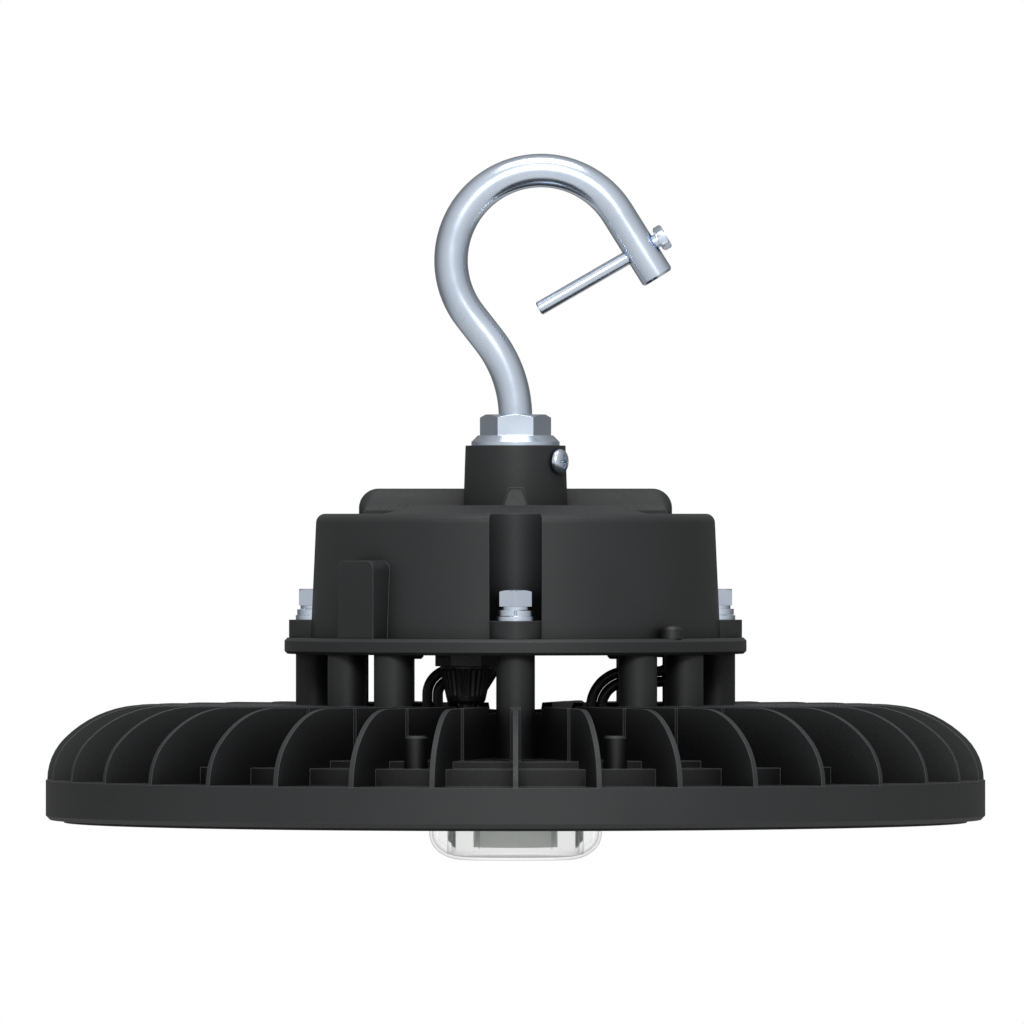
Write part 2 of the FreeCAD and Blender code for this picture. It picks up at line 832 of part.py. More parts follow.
def lock_point(radius):
    """Give the point of the lock screw's axis at a radius."""
    return lock_direction() * radius + Vector(0, 0, value("lock_level"))


def make_base():
    """Cast base plate of the driver: gasket groove, standoffs and its holes."""
    body = new_body("driver_base")
    disc = turn(
        body,
        [
            ("0", "base_bottom"),
            ("base_radius", "base_bottom"),
            ("base_radius", "foot_level"),
            ("gasket_inner + gasket_width", "foot_level"),
            ("gasket_inner + gasket_width", "foot_level - gasket_thick"),
            ("gasket_inner", "foot_level - gasket_thick"),
            ("gasket_inner", "foot_level"),
            ("0", "foot_level"),
        ],
        "base_disc",
    )
    soften(
        body,
        "Chamfer",
        disc,
        lambda e: is_ring(e, "base_radius", "foot_level") or is_ring(e, "base_radius", "base_bottom"),
        "base_bevel",
    )
    standoffs = sketch_on(body, "XY", "standoff", "foot_level - base_bevel")
    for x, y in board_corners():
        circle(standoffs, x, y, "standoff_radius")
    extrude(body, standoffs, "standoff_high + base_bevel")
    standoff_holes = [(x, y, "small_screw_radius + thread_play") for x, y in board_corners()]
    for name, level, high, spots in (
        ("driver_board_hole", "foot_level", "standoff_high", standoff_holes),
        ("base_hole", "base_bottom", "base_thick", list(base_holes())),
    ):
        sketch = sketch_on(body, "XY", name, level)
        for x, y, radius in spots:
            circle(sketch, x, y, radius)
        extrude(body, sketch, high, cut=True, reverse=True)
    return body


def board_corners():
    """List the places of the driver board's standoffs."""
    for side in SIDES:
        for end in SIDES:
            x = f"{side} * (driver_board_x / 2 - standoff_inset)"
            y = f"driver_board_shift + {end} * (driver_board_y / 2 - standoff_inset)"
            yield x, y


def base_holes():
    """List the holes through the base plate: captive screws, base screws, gland, leads and vent."""
    for angle in QUARTERS:
        yield f"screw_ring * cos({angle})", f"screw_ring * sin({angle})", "screw_radius + screw_play"
        yield *boss_spot(angle), "small_screw_radius + screw_play"
    yield "gland_x", "gland_y", "gland_thread + thread_play"
    for x, y, radius, _ in BASE_GROMMETS:
        yield x, y, radius


def make_vent():
    """Small moulded cap that lets the housing breathe, on the base plate beside the wall."""
    body = new_body("vent_plug")
    turn(
        body,
        [
            ("0", "foot_level"),
            ("vent_radius", "foot_level"),
            ("vent_radius", "foot_level + vent_high - vent_bevel"),
            ("vent_radius - vent_bevel", "foot_level + vent_high"),
            ("0", "foot_level + vent_high"),
        ],
        "vent_turn",
    )
    return bind(body, x="vent_ring * cos(45)", y="-vent_ring * cos(45)")


def make_driver_inside():
    """Circuit board of the driver with its parts, on the standoffs inside the housing."""
    board = box(
        "board_blank",
        ("driver_board_x", "driver_board_y", "driver_board_thick"),
        "-driver_board_x / 2",
        "driver_board_shift - driver_board_y / 2",
        "board_level",
    )
    clear = "small_screw_radius + screw_play"
    holes = [
        cylinder(f"board_hole_{n}", clear, "driver_board_thick", x, y, "board_level")
        for n, (x, y) in enumerate(board_corners())
    ]
    less("driver_board", board, joined("board_holes", holes))
    box(
        "transformer",
        ("transformer_x", "transformer_y", "transformer_high"),
        "0",
        "driver_board_shift - transformer_y / 2",
        "parts_level",
    )
    box(
        "terminal_block",
        ("terminal_x", "terminal_y", "terminal_high"),
        "driver_board_x / 2 - terminal_edge - terminal_x",
        "driver_board_shift - terminal_y / 2 - terminal_edge",
        "parts_level",
    )
    choke = tube("inductor", "choke_inner", "choke_outer", "parts_level", "choke_high")
    bind(choke, x="choke_x", y="driver_board_shift")
    cans = []
    for side in SIDES:
        y = f"driver_board_shift + {side} * can_y"
        cans.append(cylinder(f"can_{side}", "can_radius", "can_high", "can_x", y, "parts_level"))
    doc.recompute()
    group = doc.addObject("Part::Feature", "capacitors")
    group.Shape = Part.makeCompound([can.Shape for can in cans])
    screw = pan_screw("board_screw", "small_screw_long", "0", "parts_level")
    spots = [Vector(value(x), value(y), 0) for x, y in board_corners()]
    copies("board_screws", screw, [FreeCAD.Placement(spot, FreeCAD.Rotation()) for spot in spots])
    groove_floor = "foot_level - gasket_thick"
    tube("driver_gasket", "gasket_inner", "gasket_inner + gasket_width", groove_floor, "gasket_thick")


# Screws


def pan_screw(name, long, ring, seat, down=True):
    """Turn a small pan-head screw whose head sits on a seat, at a radius on the X axis."""
    way = "-" if down else "+"
    back = "+" if down else "-"
    body = turned(
        name,
        [
            ("0", f"{seat} {way} ({long} - small_screw_point)"),
            ("small_screw_radius", f"{seat} {way} ({long} - small_screw_point)"),
            ("small_screw_radius", seat),
            ("small_head_radius", seat),
            ("small_head_radius", f"{seat} {back} small_head_high / 2"),
            ("small_head_radius - small_head_bevel", f"{seat} {back} small_head_high"),
            ("0", f"{seat} {back} small_head_high"),
        ],
    )
    return bind(body, x=ring)


def hexagon_head(name, flats, high, seat):
    """Make a hexagonal head whose upper corners are turned off at 30 degrees."""
    top = f"({seat} + {high})"
    flat = f"({flats} / 2 - head_bevel)"
    foot = f"{flat} + {high} / tan(30)"
    cone = turned(name + "_bevel", [("0", seat), (foot, seat), (flat, top), ("0", top)])
    head = doc.addObject("Part::MultiCommon", name)
    head.Shapes = [prism(name + "_prism", flats, high, z=seat), cone]
    return head


def make_captive_screws():
    """Four captive hexagon screws with their washers, over the main posts."""
    shank = turned(
        "captive_shank",
        [
            ("0", "base_bottom - screw_reach"),
            ("screw_radius", "base_bottom - screw_reach"),
            ("screw_radius", "spring_top"),
            ("collar_radius", "spring_top"),
            ("collar_radius", "collar_top"),
            ("0", "collar_top"),
        ],
    )
    head = hexagon_head("captive_head", "head_flats", "head_high", "collar_top")
    screw = joined("captive_screw", [shank, head])
    clear = "screw_radius + screw_play"
    flat = tube("captive_washer", clear, "washer_radius", "lug_top", "washer_thick")
    spring = tube("captive_spring", clear, "spring_radius", "washer_top", "spring_thick")
    out = Vector(value("screw_ring"), 0, 0)
    corner_sideways = FreeCAD.Rotation(UP, 90)
    spots = [FreeCAD.Placement(turn_by.multVec(out), corner_sideways) for turn_by in round_axis(QUARTERS)]
    for name, piece in (("mounting_screws", screw), ("flat_washers", flat), ("spring_washers", spring)):
        copies(name, piece, spots)


# Hook


def make_hook():
    """Bent hook rod, drilled for its gate screw."""
    body = new_body("hook_bend")
    path = sketch_on(body, "XZ", "hook_path")
    draw_hook(path)
    section = sketch_on(body, "XY", "hook_section", "rod_bottom")
    circle(section, "0", "0", "rod_radius")
    pipe = body.newObject("PartDesign::AdditivePipe", "hook_sweep")
    pipe.Profile = section
    pipe.Spine = (path, [])
    doc.recompute()
    tip = hook_point("tip_long")
    soften(
        body,
        "Chamfer",
        pipe,
        lambda e: isinstance(e.Curve, Part.Circle) and e.Curve.Center.distanceToPoint(tip) < TINY * 10,
        "rod_bevel",
    )
    cross = hook_point("tip_long - gate_from_tip")
    far = cross + gate_direction() * -value("rod_radius * 3")
    drill = along("gate_hole", "gate_radius + rod_play", far, gate_direction(), "rod_radius * 6")
    return less("hook_rod", body, drill)


def hook_point(run):
    """Give a point of the hook's straight end, a run beyond the bend."""
    slope = math.radians(value("tip_slope"))
    bend = value("hook_radius")
    length = value(run)
    x = value("hook_x") + bend * math.sin(slope) + length * math.cos(slope)
    z = value("hook_z") + bend * math.cos(slope) - length * math.sin(slope)
    return Vector(x, 0, z)


def gate_direction():
    """Give the gate screw's direction, from its free end to its head."""
    slope = math.radians(value("gate_slope"))
    return Vector(math.cos(slope), 0, math.sin(slope))


def draw_hook(sketch):
    """Draw the rod's centreline: shank, bend, slope, the hook's main arc and its straight end."""
    slope = math.radians(value("shank_slope"))
    bend = value("shank_bend")
    hook = value("hook_radius")
    middle = Vector(value("hook_x"), value("hook_z"), 0)
    left = middle - Vector(math.cos(slope), math.sin(slope), 0) * hook
    slant = (-left.x - bend * (1 - math.cos(slope))) / math.sin(slope)
    knee = left + Vector(math.sin(slope), -math.cos(slope), 0) * slant
    straight_top = knee.y - bend * math.sin(slope)
    tip = hook_point("tip_long")
    start_angle = math.radians(90 - value("tip_slope"))
    bend_start = hook_point("0")
    sketch.addGeometry(Part.LineSegment(Vector(0, value("rod_bottom"), 0), Vector(0, straight_top, 0)))
    sketch.addGeometry(Part.ArcOfCircle(Part.Circle(Vector(-bend, straight_top, 0), UP, bend), 0, slope))
    sketch.addGeometry(Part.LineSegment(knee, left))
    sketch.addGeometry(Part.ArcOfCircle(Part.Circle(middle, UP, hook), start_angle, math.pi + slope))
    sketch.addGeometry(Part.LineSegment(Vector(bend_start.x, bend_start.z, 0), Vector(tip.x, tip.z, 0)))
    place(sketch, (0, START), "0", "rod_bottom")
    sketch.addConstraint(Sketcher.Constraint("Vertical", 0))
    for joint in ((0, END, 1, START), (1, END, 2, START), (2, END, 3, END), (3, START, 4, START)):
        sketch.addConstraint(Sketcher.Constraint("Tangent", *joint))
    hold(sketch, "Radius", (1,), "shank_bend")
    hold(sketch, "Radius", (3,), "hook_radius")
    place(sketch, (3, CENTRE), "hook_x", "hook_z")
    hold(sketch, "DistanceX", ORIGIN + (3, END), "hook_x - hook_radius * cos(shank_slope)")
    place(
        sketch,
        (4, END),
        "hook_x + hook_radius * sin(tip_slope) + tip_long * cos(tip_slope)",
        "hook_z + hook_radius * cos(tip_slope) - tip_long * sin(tip_slope)",
    )


def make_gate():
    """Hexagon-head gate screw across the hook's mouth."""
    cross = hook_point("tip_long - gate_from_tip")
    way = gate_direction()
    free_end = cross - way * value("gate_long")
    shank = along("gate_shank", "gate_radius", free_end, way, "gate_long + gate_head_gap")
    head = prism("gate_head", "gate_head_flats", "gate_head_high")
    head.Placement = FreeCAD.Placement(cross + way * value("gate_head_gap"), FreeCAD.Rotation(UP, way))
    return joined("gate_screw", [shank, head])


def prism(name, flats, high, **spot):
    """Make a hexagonal prism with two corners on the X direction, standing on x, y and z if given."""
    solid = doc.addObject("Part::Prism", name)
    solid.Polygon = 6
    return bind(solid, Circumradius=f"{flats} {HEX_CORNER}", Height=high, **spot)


def make_adapter():
    """Hook adapter with its nut and washer below it, and the lock screw in the neck."""
    turned_part = turned(
        "adapter_turn",
        [
            ("0", "adapter_bottom"),
            ("adapter_shank_radius", "adapter_bottom"),
            ("adapter_shank_radius", "neck_top"),
            ("flange_radius", "neck_top"),
            ("flange_radius", "flange_top - flange_bevel"),
            ("flange_radius - flange_bevel", "flange_top"),
            ("0", "flange_top"),
        ],
    )
    hexagon = hexagon_head("adapter_hex", "hex_flats", "hex_high", "flange_top")
    bore = cylinder("adapter_bore", "rod_radius + rod_play", "neck_top", z="adapter_bottom")
    less("hook_adapter", joined("adapter_solid", [turned_part, hexagon]), bore)
    washer_bottom = "adapter_bottom - nut_washer_thick"
    tube("hook_washer", "rod_radius + rod_play", "nut_washer_radius", washer_bottom, "nut_washer_thick")
    nut_bottom = washer_bottom + " - nut_high"
    nut = prism("nut_blank", "nut_flats", "nut_high", z=nut_bottom)
    less("hook_nut", nut, cylinder("nut_bore", "rod_radius + thread_play", "nut_high", z=nut_bottom))
    way = lock_direction()
    inner = value("adapter_shank_radius + thread_play")
    outer = value("neck_foot_radius")
    reach = "neck_foot_radius - adapter_shank_radius"
    pin = along("lock_shank", "lock_radius", lock_point(inner), way, reach)
    head = along("lock_head", "lock_head_radius", lock_point(outer), way, "lock_head_high")
    joined("neck_lock_screw", [pin, head])


# Light engine


def make_light_engine():
    """LED board, chips, lens plate, gasket, ring and screws under the heatsink's plate."""
    clear = "small_screw_radius + screw_play"
    blank = tube("led_board_blank", "led_board_hole", "led_board_radius", "board_bottom", "led_board_thick")
    holes = []
    for n, angle in enumerate(evenly(value("board_screw_count"))):
        spot = (f"board_screw_ring * cos({angle})", f"board_screw_ring * sin({angle})", "board_bottom")
        holes.append(cylinder(f"led_board_hole_{n}", clear, "led_board_thick", *spot))
    less("led_board", blank, joined("led_board_holes", holes))
    chip = box(
        "led_chip",
        ("led_width", "led_width", "led_high"),
        "-led_width / 2",
        "-led_width / 2",
        "board_bottom - led_high",
    )
    spots = []
    for ring, count in enumerate(LEDS_IN_RINGS):
        out = Vector(value(f"led_board_radius - led_edge - {ring} * led_pitch"), 0, 0)
        for turn_by in round_axis(evenly(count, value("led_turn"))):
            spots.append(turn_by.multiply(FreeCAD.Placement(out, FreeCAD.Rotation())))
    copies("led_chips", chip, spots)
    tube("lens_plate", "lens_hole", "lens_radius", "lens_bottom", "lens_thick")
    outer = "(lens_radius - ring_play)"
    tube("lens_gasket", f"{outer} - lens_gasket_width", outer, "lens_top", "lens_gasket_thick")
    ring = turned(
        "ring_turn",
        [
            ("ring_inner", "ring_bottom"),
            ("ring_outer", "ring_bottom"),
            ("ring_outer", "ledge_level"),
            ("lens_radius + ring_play", "ledge_level"),
            ("lens_radius + ring_play", "lens_bottom"),
            ("ring_inner", "lens_bottom"),
        ],
    )
    holes = []
    for n, angle in enumerate(evenly(value("lens_screw_count"))):
        spot = (f"lens_screw_ring * cos({angle})", f"lens_screw_ring * sin({angle})", "ring_bottom")
        holes.append(cylinder(f"ring_hole_{n}", clear, "ledge_level - ring_bottom", *spot))
        holes.append(cylinder(f"ring_sink_{n}", "small_head_radius + screw_play", "small_head_high", *spot))
    less("lens_ring", ring, joined("ring_holes", holes))
    seat = "(ring_bottom + small_head_high)"
    long = f"ledge_level + small_screw_long - {seat}"
    lens_screw = pan_screw("lens_screw", long, "lens_screw_ring", seat, down=False)
    copies("lens_screws", lens_screw, round_axis(evenly(value("lens_screw_count"))))
    long = "small_screw_long"
    board_screw = pan_screw("led_board_screw", long, "board_screw_ring", "board_bottom", down=False)
    copies("led_board_screws", board_screw, round_axis(evenly(value("board_screw_count"))))


def make_sensor():
    """Sensor under the middle: ribbed barrel, clear cover, board, module, gasket and screws."""
    step = "(sensor_board_level + sensor_board_thick)"
    inner = "barrel_radius - barrel_wall"
    body = new_body("sensor_body")
    turn(
        body,
        [
            (inner, "barrel_bottom"),
            ("barrel_radius", "barrel_bottom"),
            ("barrel_radius", "sensor_flange_bottom"),
            ("sensor_flange_radius", "sensor_flange_bottom"),
            ("sensor_flange_radius", "sensor_flange_top"),
            ("sensor_hub_radius", "sensor_flange_top"),
            ("sensor_hub_radius", "board_seat"),
            ("grommet_radius", "board_seat"),
            ("grommet_radius", "board_seat - sensor_cap_thick"),
            (inner + " - barrel_step", "board_seat - sensor_cap_thick"),
            (inner + " - barrel_step", step),
            (inner, step),
        ],
        "sensor_turn",
    )
    rib_sketch = sketch_on(body, "XZ", "sensor_rib")
    outline(
        rib_sketch,
        [
            ("barrel_radius - barrel_wall / 2", "barrel_bottom + barrel_wall"),
            ("sensor_rib_radius", "barrel_bottom + barrel_wall + sensor_rib_deep"),
            ("sensor_rib_radius", "sensor_flange_bottom + sensor_flange_thick / 2"),
            ("barrel_radius - barrel_wall / 2", "sensor_flange_bottom + sensor_flange_thick / 2"),
        ],
    )
    rib = extrude(body, rib_sketch, "sensor_rib_thick", midplane=True)
    repeat(body, [rib], "sensor_rib_count", rib_sketch, "V_Axis")
    hole_sketch = sketch_on(body, "XY", "cap_hole", "board_seat")
    circle(hole_sketch, "sensor_screw_ring", "0", "small_screw_radius + screw_play")
    hole = extrude(body, hole_sketch, "sensor_cap_thick", cut=True)
    repeat(body, [hole], "sensor_screw_count", hole_sketch)

    cover = turned(
        "sensor_cover_blank",
        [
            ("0", "0"),
            ("cover_radius", "0"),
            ("cover_radius", "sensor_flange_bottom"),
            ("0", "sensor_flange_bottom"),
        ],
    )
    soften(cover, "Fillet", cover.Tip, lambda e: is_ring(e, "cover_radius", "0"), "cover_round")
    inside = "(cover_radius - cover_wall)"
    slope = "(cover_round - cover_wall) * (2 - sqrt(2))"
    room = turned(
        "cover_room",
        [
            ("0", "cover_wall"),
            (f"{inside} - {slope}", "cover_wall"),
            (inside, f"cover_wall + {slope}"),
            (inside, "sensor_flange_bottom"),
            ("0", "sensor_flange_bottom"),
        ],
    )
    less("sensor_cover", cover, room)

    cylinder("sensor_board", f"{inner} - screw_play", "sensor_board_thick", z="sensor_board_level")
    module_high = "sensor_board_level - sensor_module_bottom"
    cylinder("sensor_module", "sensor_module_radius", module_high, z="sensor_module_bottom")
    tube("sensor_gasket", "lens_hole + ring_play", "sensor_flange_radius", "lens_top", "sensor_gasket_thick")
    seat = "(board_seat - sensor_cap_thick)"
    screw = pan_screw("sensor_screw", "small_screw_long", "sensor_screw_ring", seat, down=False)
    copies("sensor_screws", screw, round_axis(evenly(value("sensor_screw_count"))))


# Leads


def lead(name, radius, corners, bends):
    """Sweep a round lead along straight runs joined by tangent arcs, in a Part::Feature."""
    spots = [Vector(*(value(c) for c in corner)) for corner in corners]
    edges = []
    here = spots[0]
    for before, corner, after, bend in zip(spots, spots[1:], spots[2:], bends):
        way_in = (corner - before).normalize()
        way_out = (after - corner).normalize()
        half = way_in.getAngle(way_out) / 2
        cut_back = value(bend) * math.tan(half)
        start = corner - way_in * cut_back
        end = corner + way_out * cut_back
        inward = (way_out - way_in).normalize()
        middle = corner + inward * (value(bend) / math.cos(half) - value(bend))
        edges.append(Part.makeLine(here, start))
        edges.append(Part.Arc(start, middle, end).toShape())
        here = end
    edges.append(Part.makeLine(here, spots[-1]))
    path = Part.Wire(edges)
    section = Part.Wire(Part.makeCircle(value(radius), spots[0], spots[1] - spots[0]))
    solid = path.makePipeShell([section], True, True)
    feature = doc.addObject("Part::Feature", name)
    feature.Shape = solid
    ideal = math.pi * value(radius) ** 2 * path.Length
    if abs(solid.Volume / ideal - 1) > 0.002:
        raise ValueError(f"{name} is {solid.Volume} mm3 where its section times its length is {ideal}")
    print(f"{name}: {path.Length:.1f} mm long, bends {[round(value(b), 1) for b in bends]} mm")
    return feature


def lead_pair(names, plate_x, exit_x, y, level, exit_bend, well_bend):
    """Lay two leads side by side from the heatsink's plate, over to one side and into the driver base."""
    for name, side in zip(names, SIDES):
        aside = f"{side} * pair_pitch"
        run_level = f"{level} - (1 + {side}) * pair_pitch"
        lead(
            name,
            "lead_radius",
            [
                (f"{exit_x} + {aside}", y, "lead_top"),
                (f"{exit_x} + {aside}", y, run_level),
                (f"{plate_x} + {aside}", y, run_level),
                (f"{plate_x} + {aside}", y, "lead_bottom"),
            ],
            [f"{exit_bend} + (1 + {side}) * pair_pitch", f"{well_bend} + (1 - {side}) * pair_pitch"],
        )


def make_leads():
    """Two LED leads on the right, three leads on the left and the sensor's cable from its gland."""
    lead_pair(
        ("led_lead_outer", "led_lead_inner"),
        "led_lead_x",
        "led_exit_x",
        "led_lead_y",
        "led_lead_level",
        "led_exit_bend",
        "led_well_bend",
    )
    lead_pair(
        ("left_lead_outer", "left_lead_middle"),
        "left_pair_x",
        "left_exit_x",
        "left_pair_y",
        "left_pair_level",
        "left_exit_bend",
        "left_well_bend",
    )
    lead(
        "left_lead_inner",
        "lead_radius",
        [
            ("inner_exit_x", "inner_lead_y", "lead_top"),
            ("inner_exit_x", "inner_lead_y", "left_pair_level"),
            ("inner_lead_x", "inner_lead_y", "well_run_level"),
            ("inner_lead_x", "inner_lead_y", "lead_bottom"),
        ],
        ["inner_bend", "inner_bend"],
    )
    lead(
        "sensor_lead",
        "cable_radius",
        [
            ("gland_x", "gland_y", "base_bottom"),
            ("gland_x", "gland_y", "well_run_level"),
            ("0", "0", "well_run_level"),
            ("0", "0", "board_seat"),
        ],
        ["cable_bend", "cable_bend"],
    )


def make_grommets():
    """Rubber grommets where the leads pass the heatsink's plate and the driver base."""
    for node, spots, bottom, top, flange in (
        ("plate_grommets", PLATE_GROMMETS, "plate_top - fin_sink", "plate_top", "plate_top"),
        ("base_grommets", BASE_GROMMETS, "base_bottom", "foot_level", "base_bottom - grommet_flange_thick"),
    ):
        shapes = []
        for x, y, radius, kind in spots:
            foot = Vector(value(x), value(y), value(bottom))
            rim_foot = Vector(foot.x, foot.y, value(flange))
            plug = Part.makeCylinder(value(f"{radius} - thread_play"), value(f"{top} - ({bottom})"), foot)
            rim_radius = value(f"{radius} + grommet_flange")
            rim = Part.makeCylinder(rim_radius, value("grommet_flange_thick"), rim_foot)
            solid = plug.fuse(rim).removeSplitter()
            bore, offsets = GROMMET_BORES[kind]
            for offset in offsets:
                under = Vector(foot.x + value(offset), foot.y, 0)
                solid = solid.cut(Part.makeCylinder(value(bore), value("neck_top"), under))
            shapes.append(solid)
        doc.addObject("Part::Feature", node).Shape = Part.makeCompound(shapes)


def make_gland():
    """Cable gland under the driver base, for the sensor's cable."""
    spot = {"x": "gland_x", "y": "gland_y"}
    hex_bottom = "base_bottom - gland_hex_high"
    hexagon = prism("gland_hex", "gland_flats", "gland_hex_high", z=hex_bottom, **spot)
    thread_high = "gland_hex_high + base_thick + gland_nut_high + gland_thread_end"
    thread = cylinder("gland_thread_rod", "gland_thread", thread_high, z=hex_bottom, **spot)
    bore = cylinder("gland_hole", "gland_bore", "neck_top", **spot)
    less("gland_body", joined("gland_solid", [hexagon, thread]), bore)
    cap = bind(
        doc.addObject("Part::Cone", "gland_cone"),
        Radius1="gland_cap_foot_radius",
        Radius2="gland_cap_top_radius",
        Height="gland_cap_high",
        z="gland_cap_bottom",
        **spot,
    )
    less("gland_cap", cap, cylinder("gland_cap_hole", "gland_bore", "base_bottom", **spot))
    nut = prism("gland_nut_blank", "gland_flats", "gland_nut_high", z="foot_level", **spot)
    less("gland_nut", nut, cylinder("gland_nut_hole", "gland_thread + thread_play", "neck_top", **spot))


NODES = (
    "hook_rod", "gate_screw", "hook_adapter", "hook_washer", "hook_nut", "neck_lock_screw",
    "driver_housing", "driver_base", "driver_gasket", "driver_board", "board_screws", "transformer",
    "capacitors", "inductor", "terminal_block", "vent_plug", "mounting_screws", "flat_washers",
    "spring_washers", "base_screws", "gland_body", "gland_cap", "gland_nut", "sensor_lead",
    "led_lead_outer", "led_lead_inner", "left_lead_outer", "left_lead_middle", "left_lead_inner",
    "plate_grommets", "base_grommets", "heatsink", "led_board", "led_chips", "led_board_screws", "lens_plate",
    "lens_gasket", "lens_ring", "lens_screws", "sensor_cover", "sensor_body", "sensor_board",
    "sensor_module", "sensor_gasket", "sensor_screws",
)


def make_base_screws():
    """Four screws that hold the driver base to the bosses in the housing, from below."""
    screw = pan_screw("base_screw", "base_thick + boss_hole", "0", "base_bottom", down=False)
    spots = [Vector(*(value(place) for place in boss_spot(angle)), 0) for angle in QUARTERS]
    copies("base_screws", screw, [FreeCAD.Placement(spot, FreeCAD.Rotation()) for spot in spots])


def check(thing):
    """Stop if an object of the document failed."""
    if "Invalid" in thing.State or "Error" in thing.State:
        raise RuntimeError(f"{thing.Label} failed: {thing.getStatusString()}")


def main():
    """Build every piece, check it and write one STEP file for each node."""
    make_heatsink()
    make_housing()
    make_base()
    make_vent()
    make_driver_inside()
    make_captive_screws()
    make_base_screws()
    make_hook()
    make_gate()
    make_adapter()
    make_light_engine()
    make_sensor()
    make_leads()
    make_grommets()
    make_gland()
    doc.recompute()
    for thing in doc.Objects:
        check(thing)
    os.makedirs("parts", exist_ok=True)
    for name in NODES:
        node = doc.getObjectsByLabel(name)[0]
        if node.Shape.isNull() or not node.Shape.isValid():
            raise RuntimeError(f"{name} has no valid shape")
        node.Shape.exportStep(f"parts/{name}.step")
        print(f"{name}: {len(node.Shape.Solids)} solids, {node.Shape.Volume:.0f} mm3")


main()
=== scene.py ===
"""Looks of a round LED high bay light: its finishes, fine parts, studio light and camera."""

import json
import logging
import math
from collections.abc import Iterable, Sequence
from dataclasses import dataclass, field
from enum import Enum

import bmesh
import bpy
from bpy.types import Material, Mesh, Node, NodeSocket, NodeTree
from mathutils import Matrix, Vector

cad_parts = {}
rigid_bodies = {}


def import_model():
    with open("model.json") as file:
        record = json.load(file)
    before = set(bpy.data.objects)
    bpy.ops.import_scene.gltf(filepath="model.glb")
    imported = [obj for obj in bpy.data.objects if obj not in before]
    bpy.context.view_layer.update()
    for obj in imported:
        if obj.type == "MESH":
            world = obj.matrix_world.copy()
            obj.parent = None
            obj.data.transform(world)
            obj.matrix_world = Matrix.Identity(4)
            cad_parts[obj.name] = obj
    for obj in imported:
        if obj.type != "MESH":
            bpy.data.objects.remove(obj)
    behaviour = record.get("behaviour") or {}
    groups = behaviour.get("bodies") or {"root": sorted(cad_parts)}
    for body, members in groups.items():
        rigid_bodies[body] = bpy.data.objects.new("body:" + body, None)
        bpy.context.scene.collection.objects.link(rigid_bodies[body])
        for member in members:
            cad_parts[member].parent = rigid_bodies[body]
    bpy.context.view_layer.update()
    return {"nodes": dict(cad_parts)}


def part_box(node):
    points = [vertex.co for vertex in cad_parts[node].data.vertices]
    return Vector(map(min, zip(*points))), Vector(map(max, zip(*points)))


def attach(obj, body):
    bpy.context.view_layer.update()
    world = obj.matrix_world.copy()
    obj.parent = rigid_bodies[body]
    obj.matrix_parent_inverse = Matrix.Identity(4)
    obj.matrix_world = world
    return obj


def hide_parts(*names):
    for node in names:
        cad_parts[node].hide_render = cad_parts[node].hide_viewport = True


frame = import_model()
LOG = logging.getLogger("high_bay_light")
MM = 0.001
UP = Vector((0, 0, 1))
IN_COLOUR = {"data_type": "RGBA"}
NOISE_SPAN = {"From Min": 0.3, "From Max": 0.7}  # a noise's values seldom lie outside it


class Slot(Enum):
    """Material slots of the record."""

    POWDER_COAT = "powder_coat"
    ZINC_PLATE = "zinc_plate"
    BLACK_PLASTIC = "black_plastic"
    RUBBER = "rubber"
    CABLE_JACKET = "cable_jacket"
    CLEAR_PLASTIC = "clear_plastic"
    GREY_PLASTIC = "grey_plastic"
    CIRCUIT_BOARD = "circuit_board"
    GREEN_BOARD = "green_board"
    PHOSPHOR = "phosphor"
    COMPONENT_BLACK = "component_black"
    COPPER = "copper"
    SILICONE = "silicone"


# Colour, nodes and units


def linear(hex_colour: str) -> tuple[float, float, float, float]:
    """Turn an sRGB hex colour into Blender's linear colour.

    Args:
        hex_colour: The colour as #RRGGBB.

    Returns:
        Red, green, blue and an alpha of 1.
    """
    channels = [int(hex_colour[start : start + 2], 16) / 255 for start in (1, 3, 5)]
    red, green, blue = (
        c / 12.92 if c <= 0.04045 else ((c + 0.055) / 1.055) ** 2.4 for c in channels
    )
    return red, green, blue, 1.0


def per_metre(size: float) -> float:
    """Turn the size of one grain into a texture scale.

    Args:
        size: The size in millimetres.

    Returns:
        The scale, in grains to a metre.
    """
    return 1 / (size * MM)


def connect(tree: NodeTree, node: Node, inputs: dict) -> None:
    """Set or link sockets of a node.

    Args:
        tree: The tree that holds the node.
        node: The node.
        inputs: A value, a socket to link from, or a node whose first output is meant, for each
            socket name or number.
    """
    for name, given in inputs.items():
        if isinstance(given, Node):
            given = given.outputs[0]
        if isinstance(given, NodeSocket):
            tree.links.new(given, node.inputs[name])
        else:
            node.inputs[name].default_value = given


def add_node(
    tree: NodeTree, kind: str, inputs: dict | None = None, settings: dict | None = None
) -> Node:
    """Add one node with its settings and links.

    Args:
        tree: The tree to add to.
        kind: Blender's name for the kind of node, less its ShaderNode.
        inputs: What its inputs get, as for connect.
        settings: The node's own settings by name.

    Returns:
        The new node.
    """
    node = tree.nodes.new("ShaderNode" + kind)
    for name, given in (settings or {}).items():
        setattr(node, name, given)
    connect(tree, node, inputs or {})
    return node


# Finishes


@dataclass(frozen=True)
class Surface:
    """A material under construction.

    Attributes:
        tree: The material's tree.
        shader: Its Principled shader.
        where: Place on the object, in metres.
        bevel: Normal with rounded edges.
    """

    tree: NodeTree
    shader: Node
    where: NodeSocket
    bevel: NodeSocket


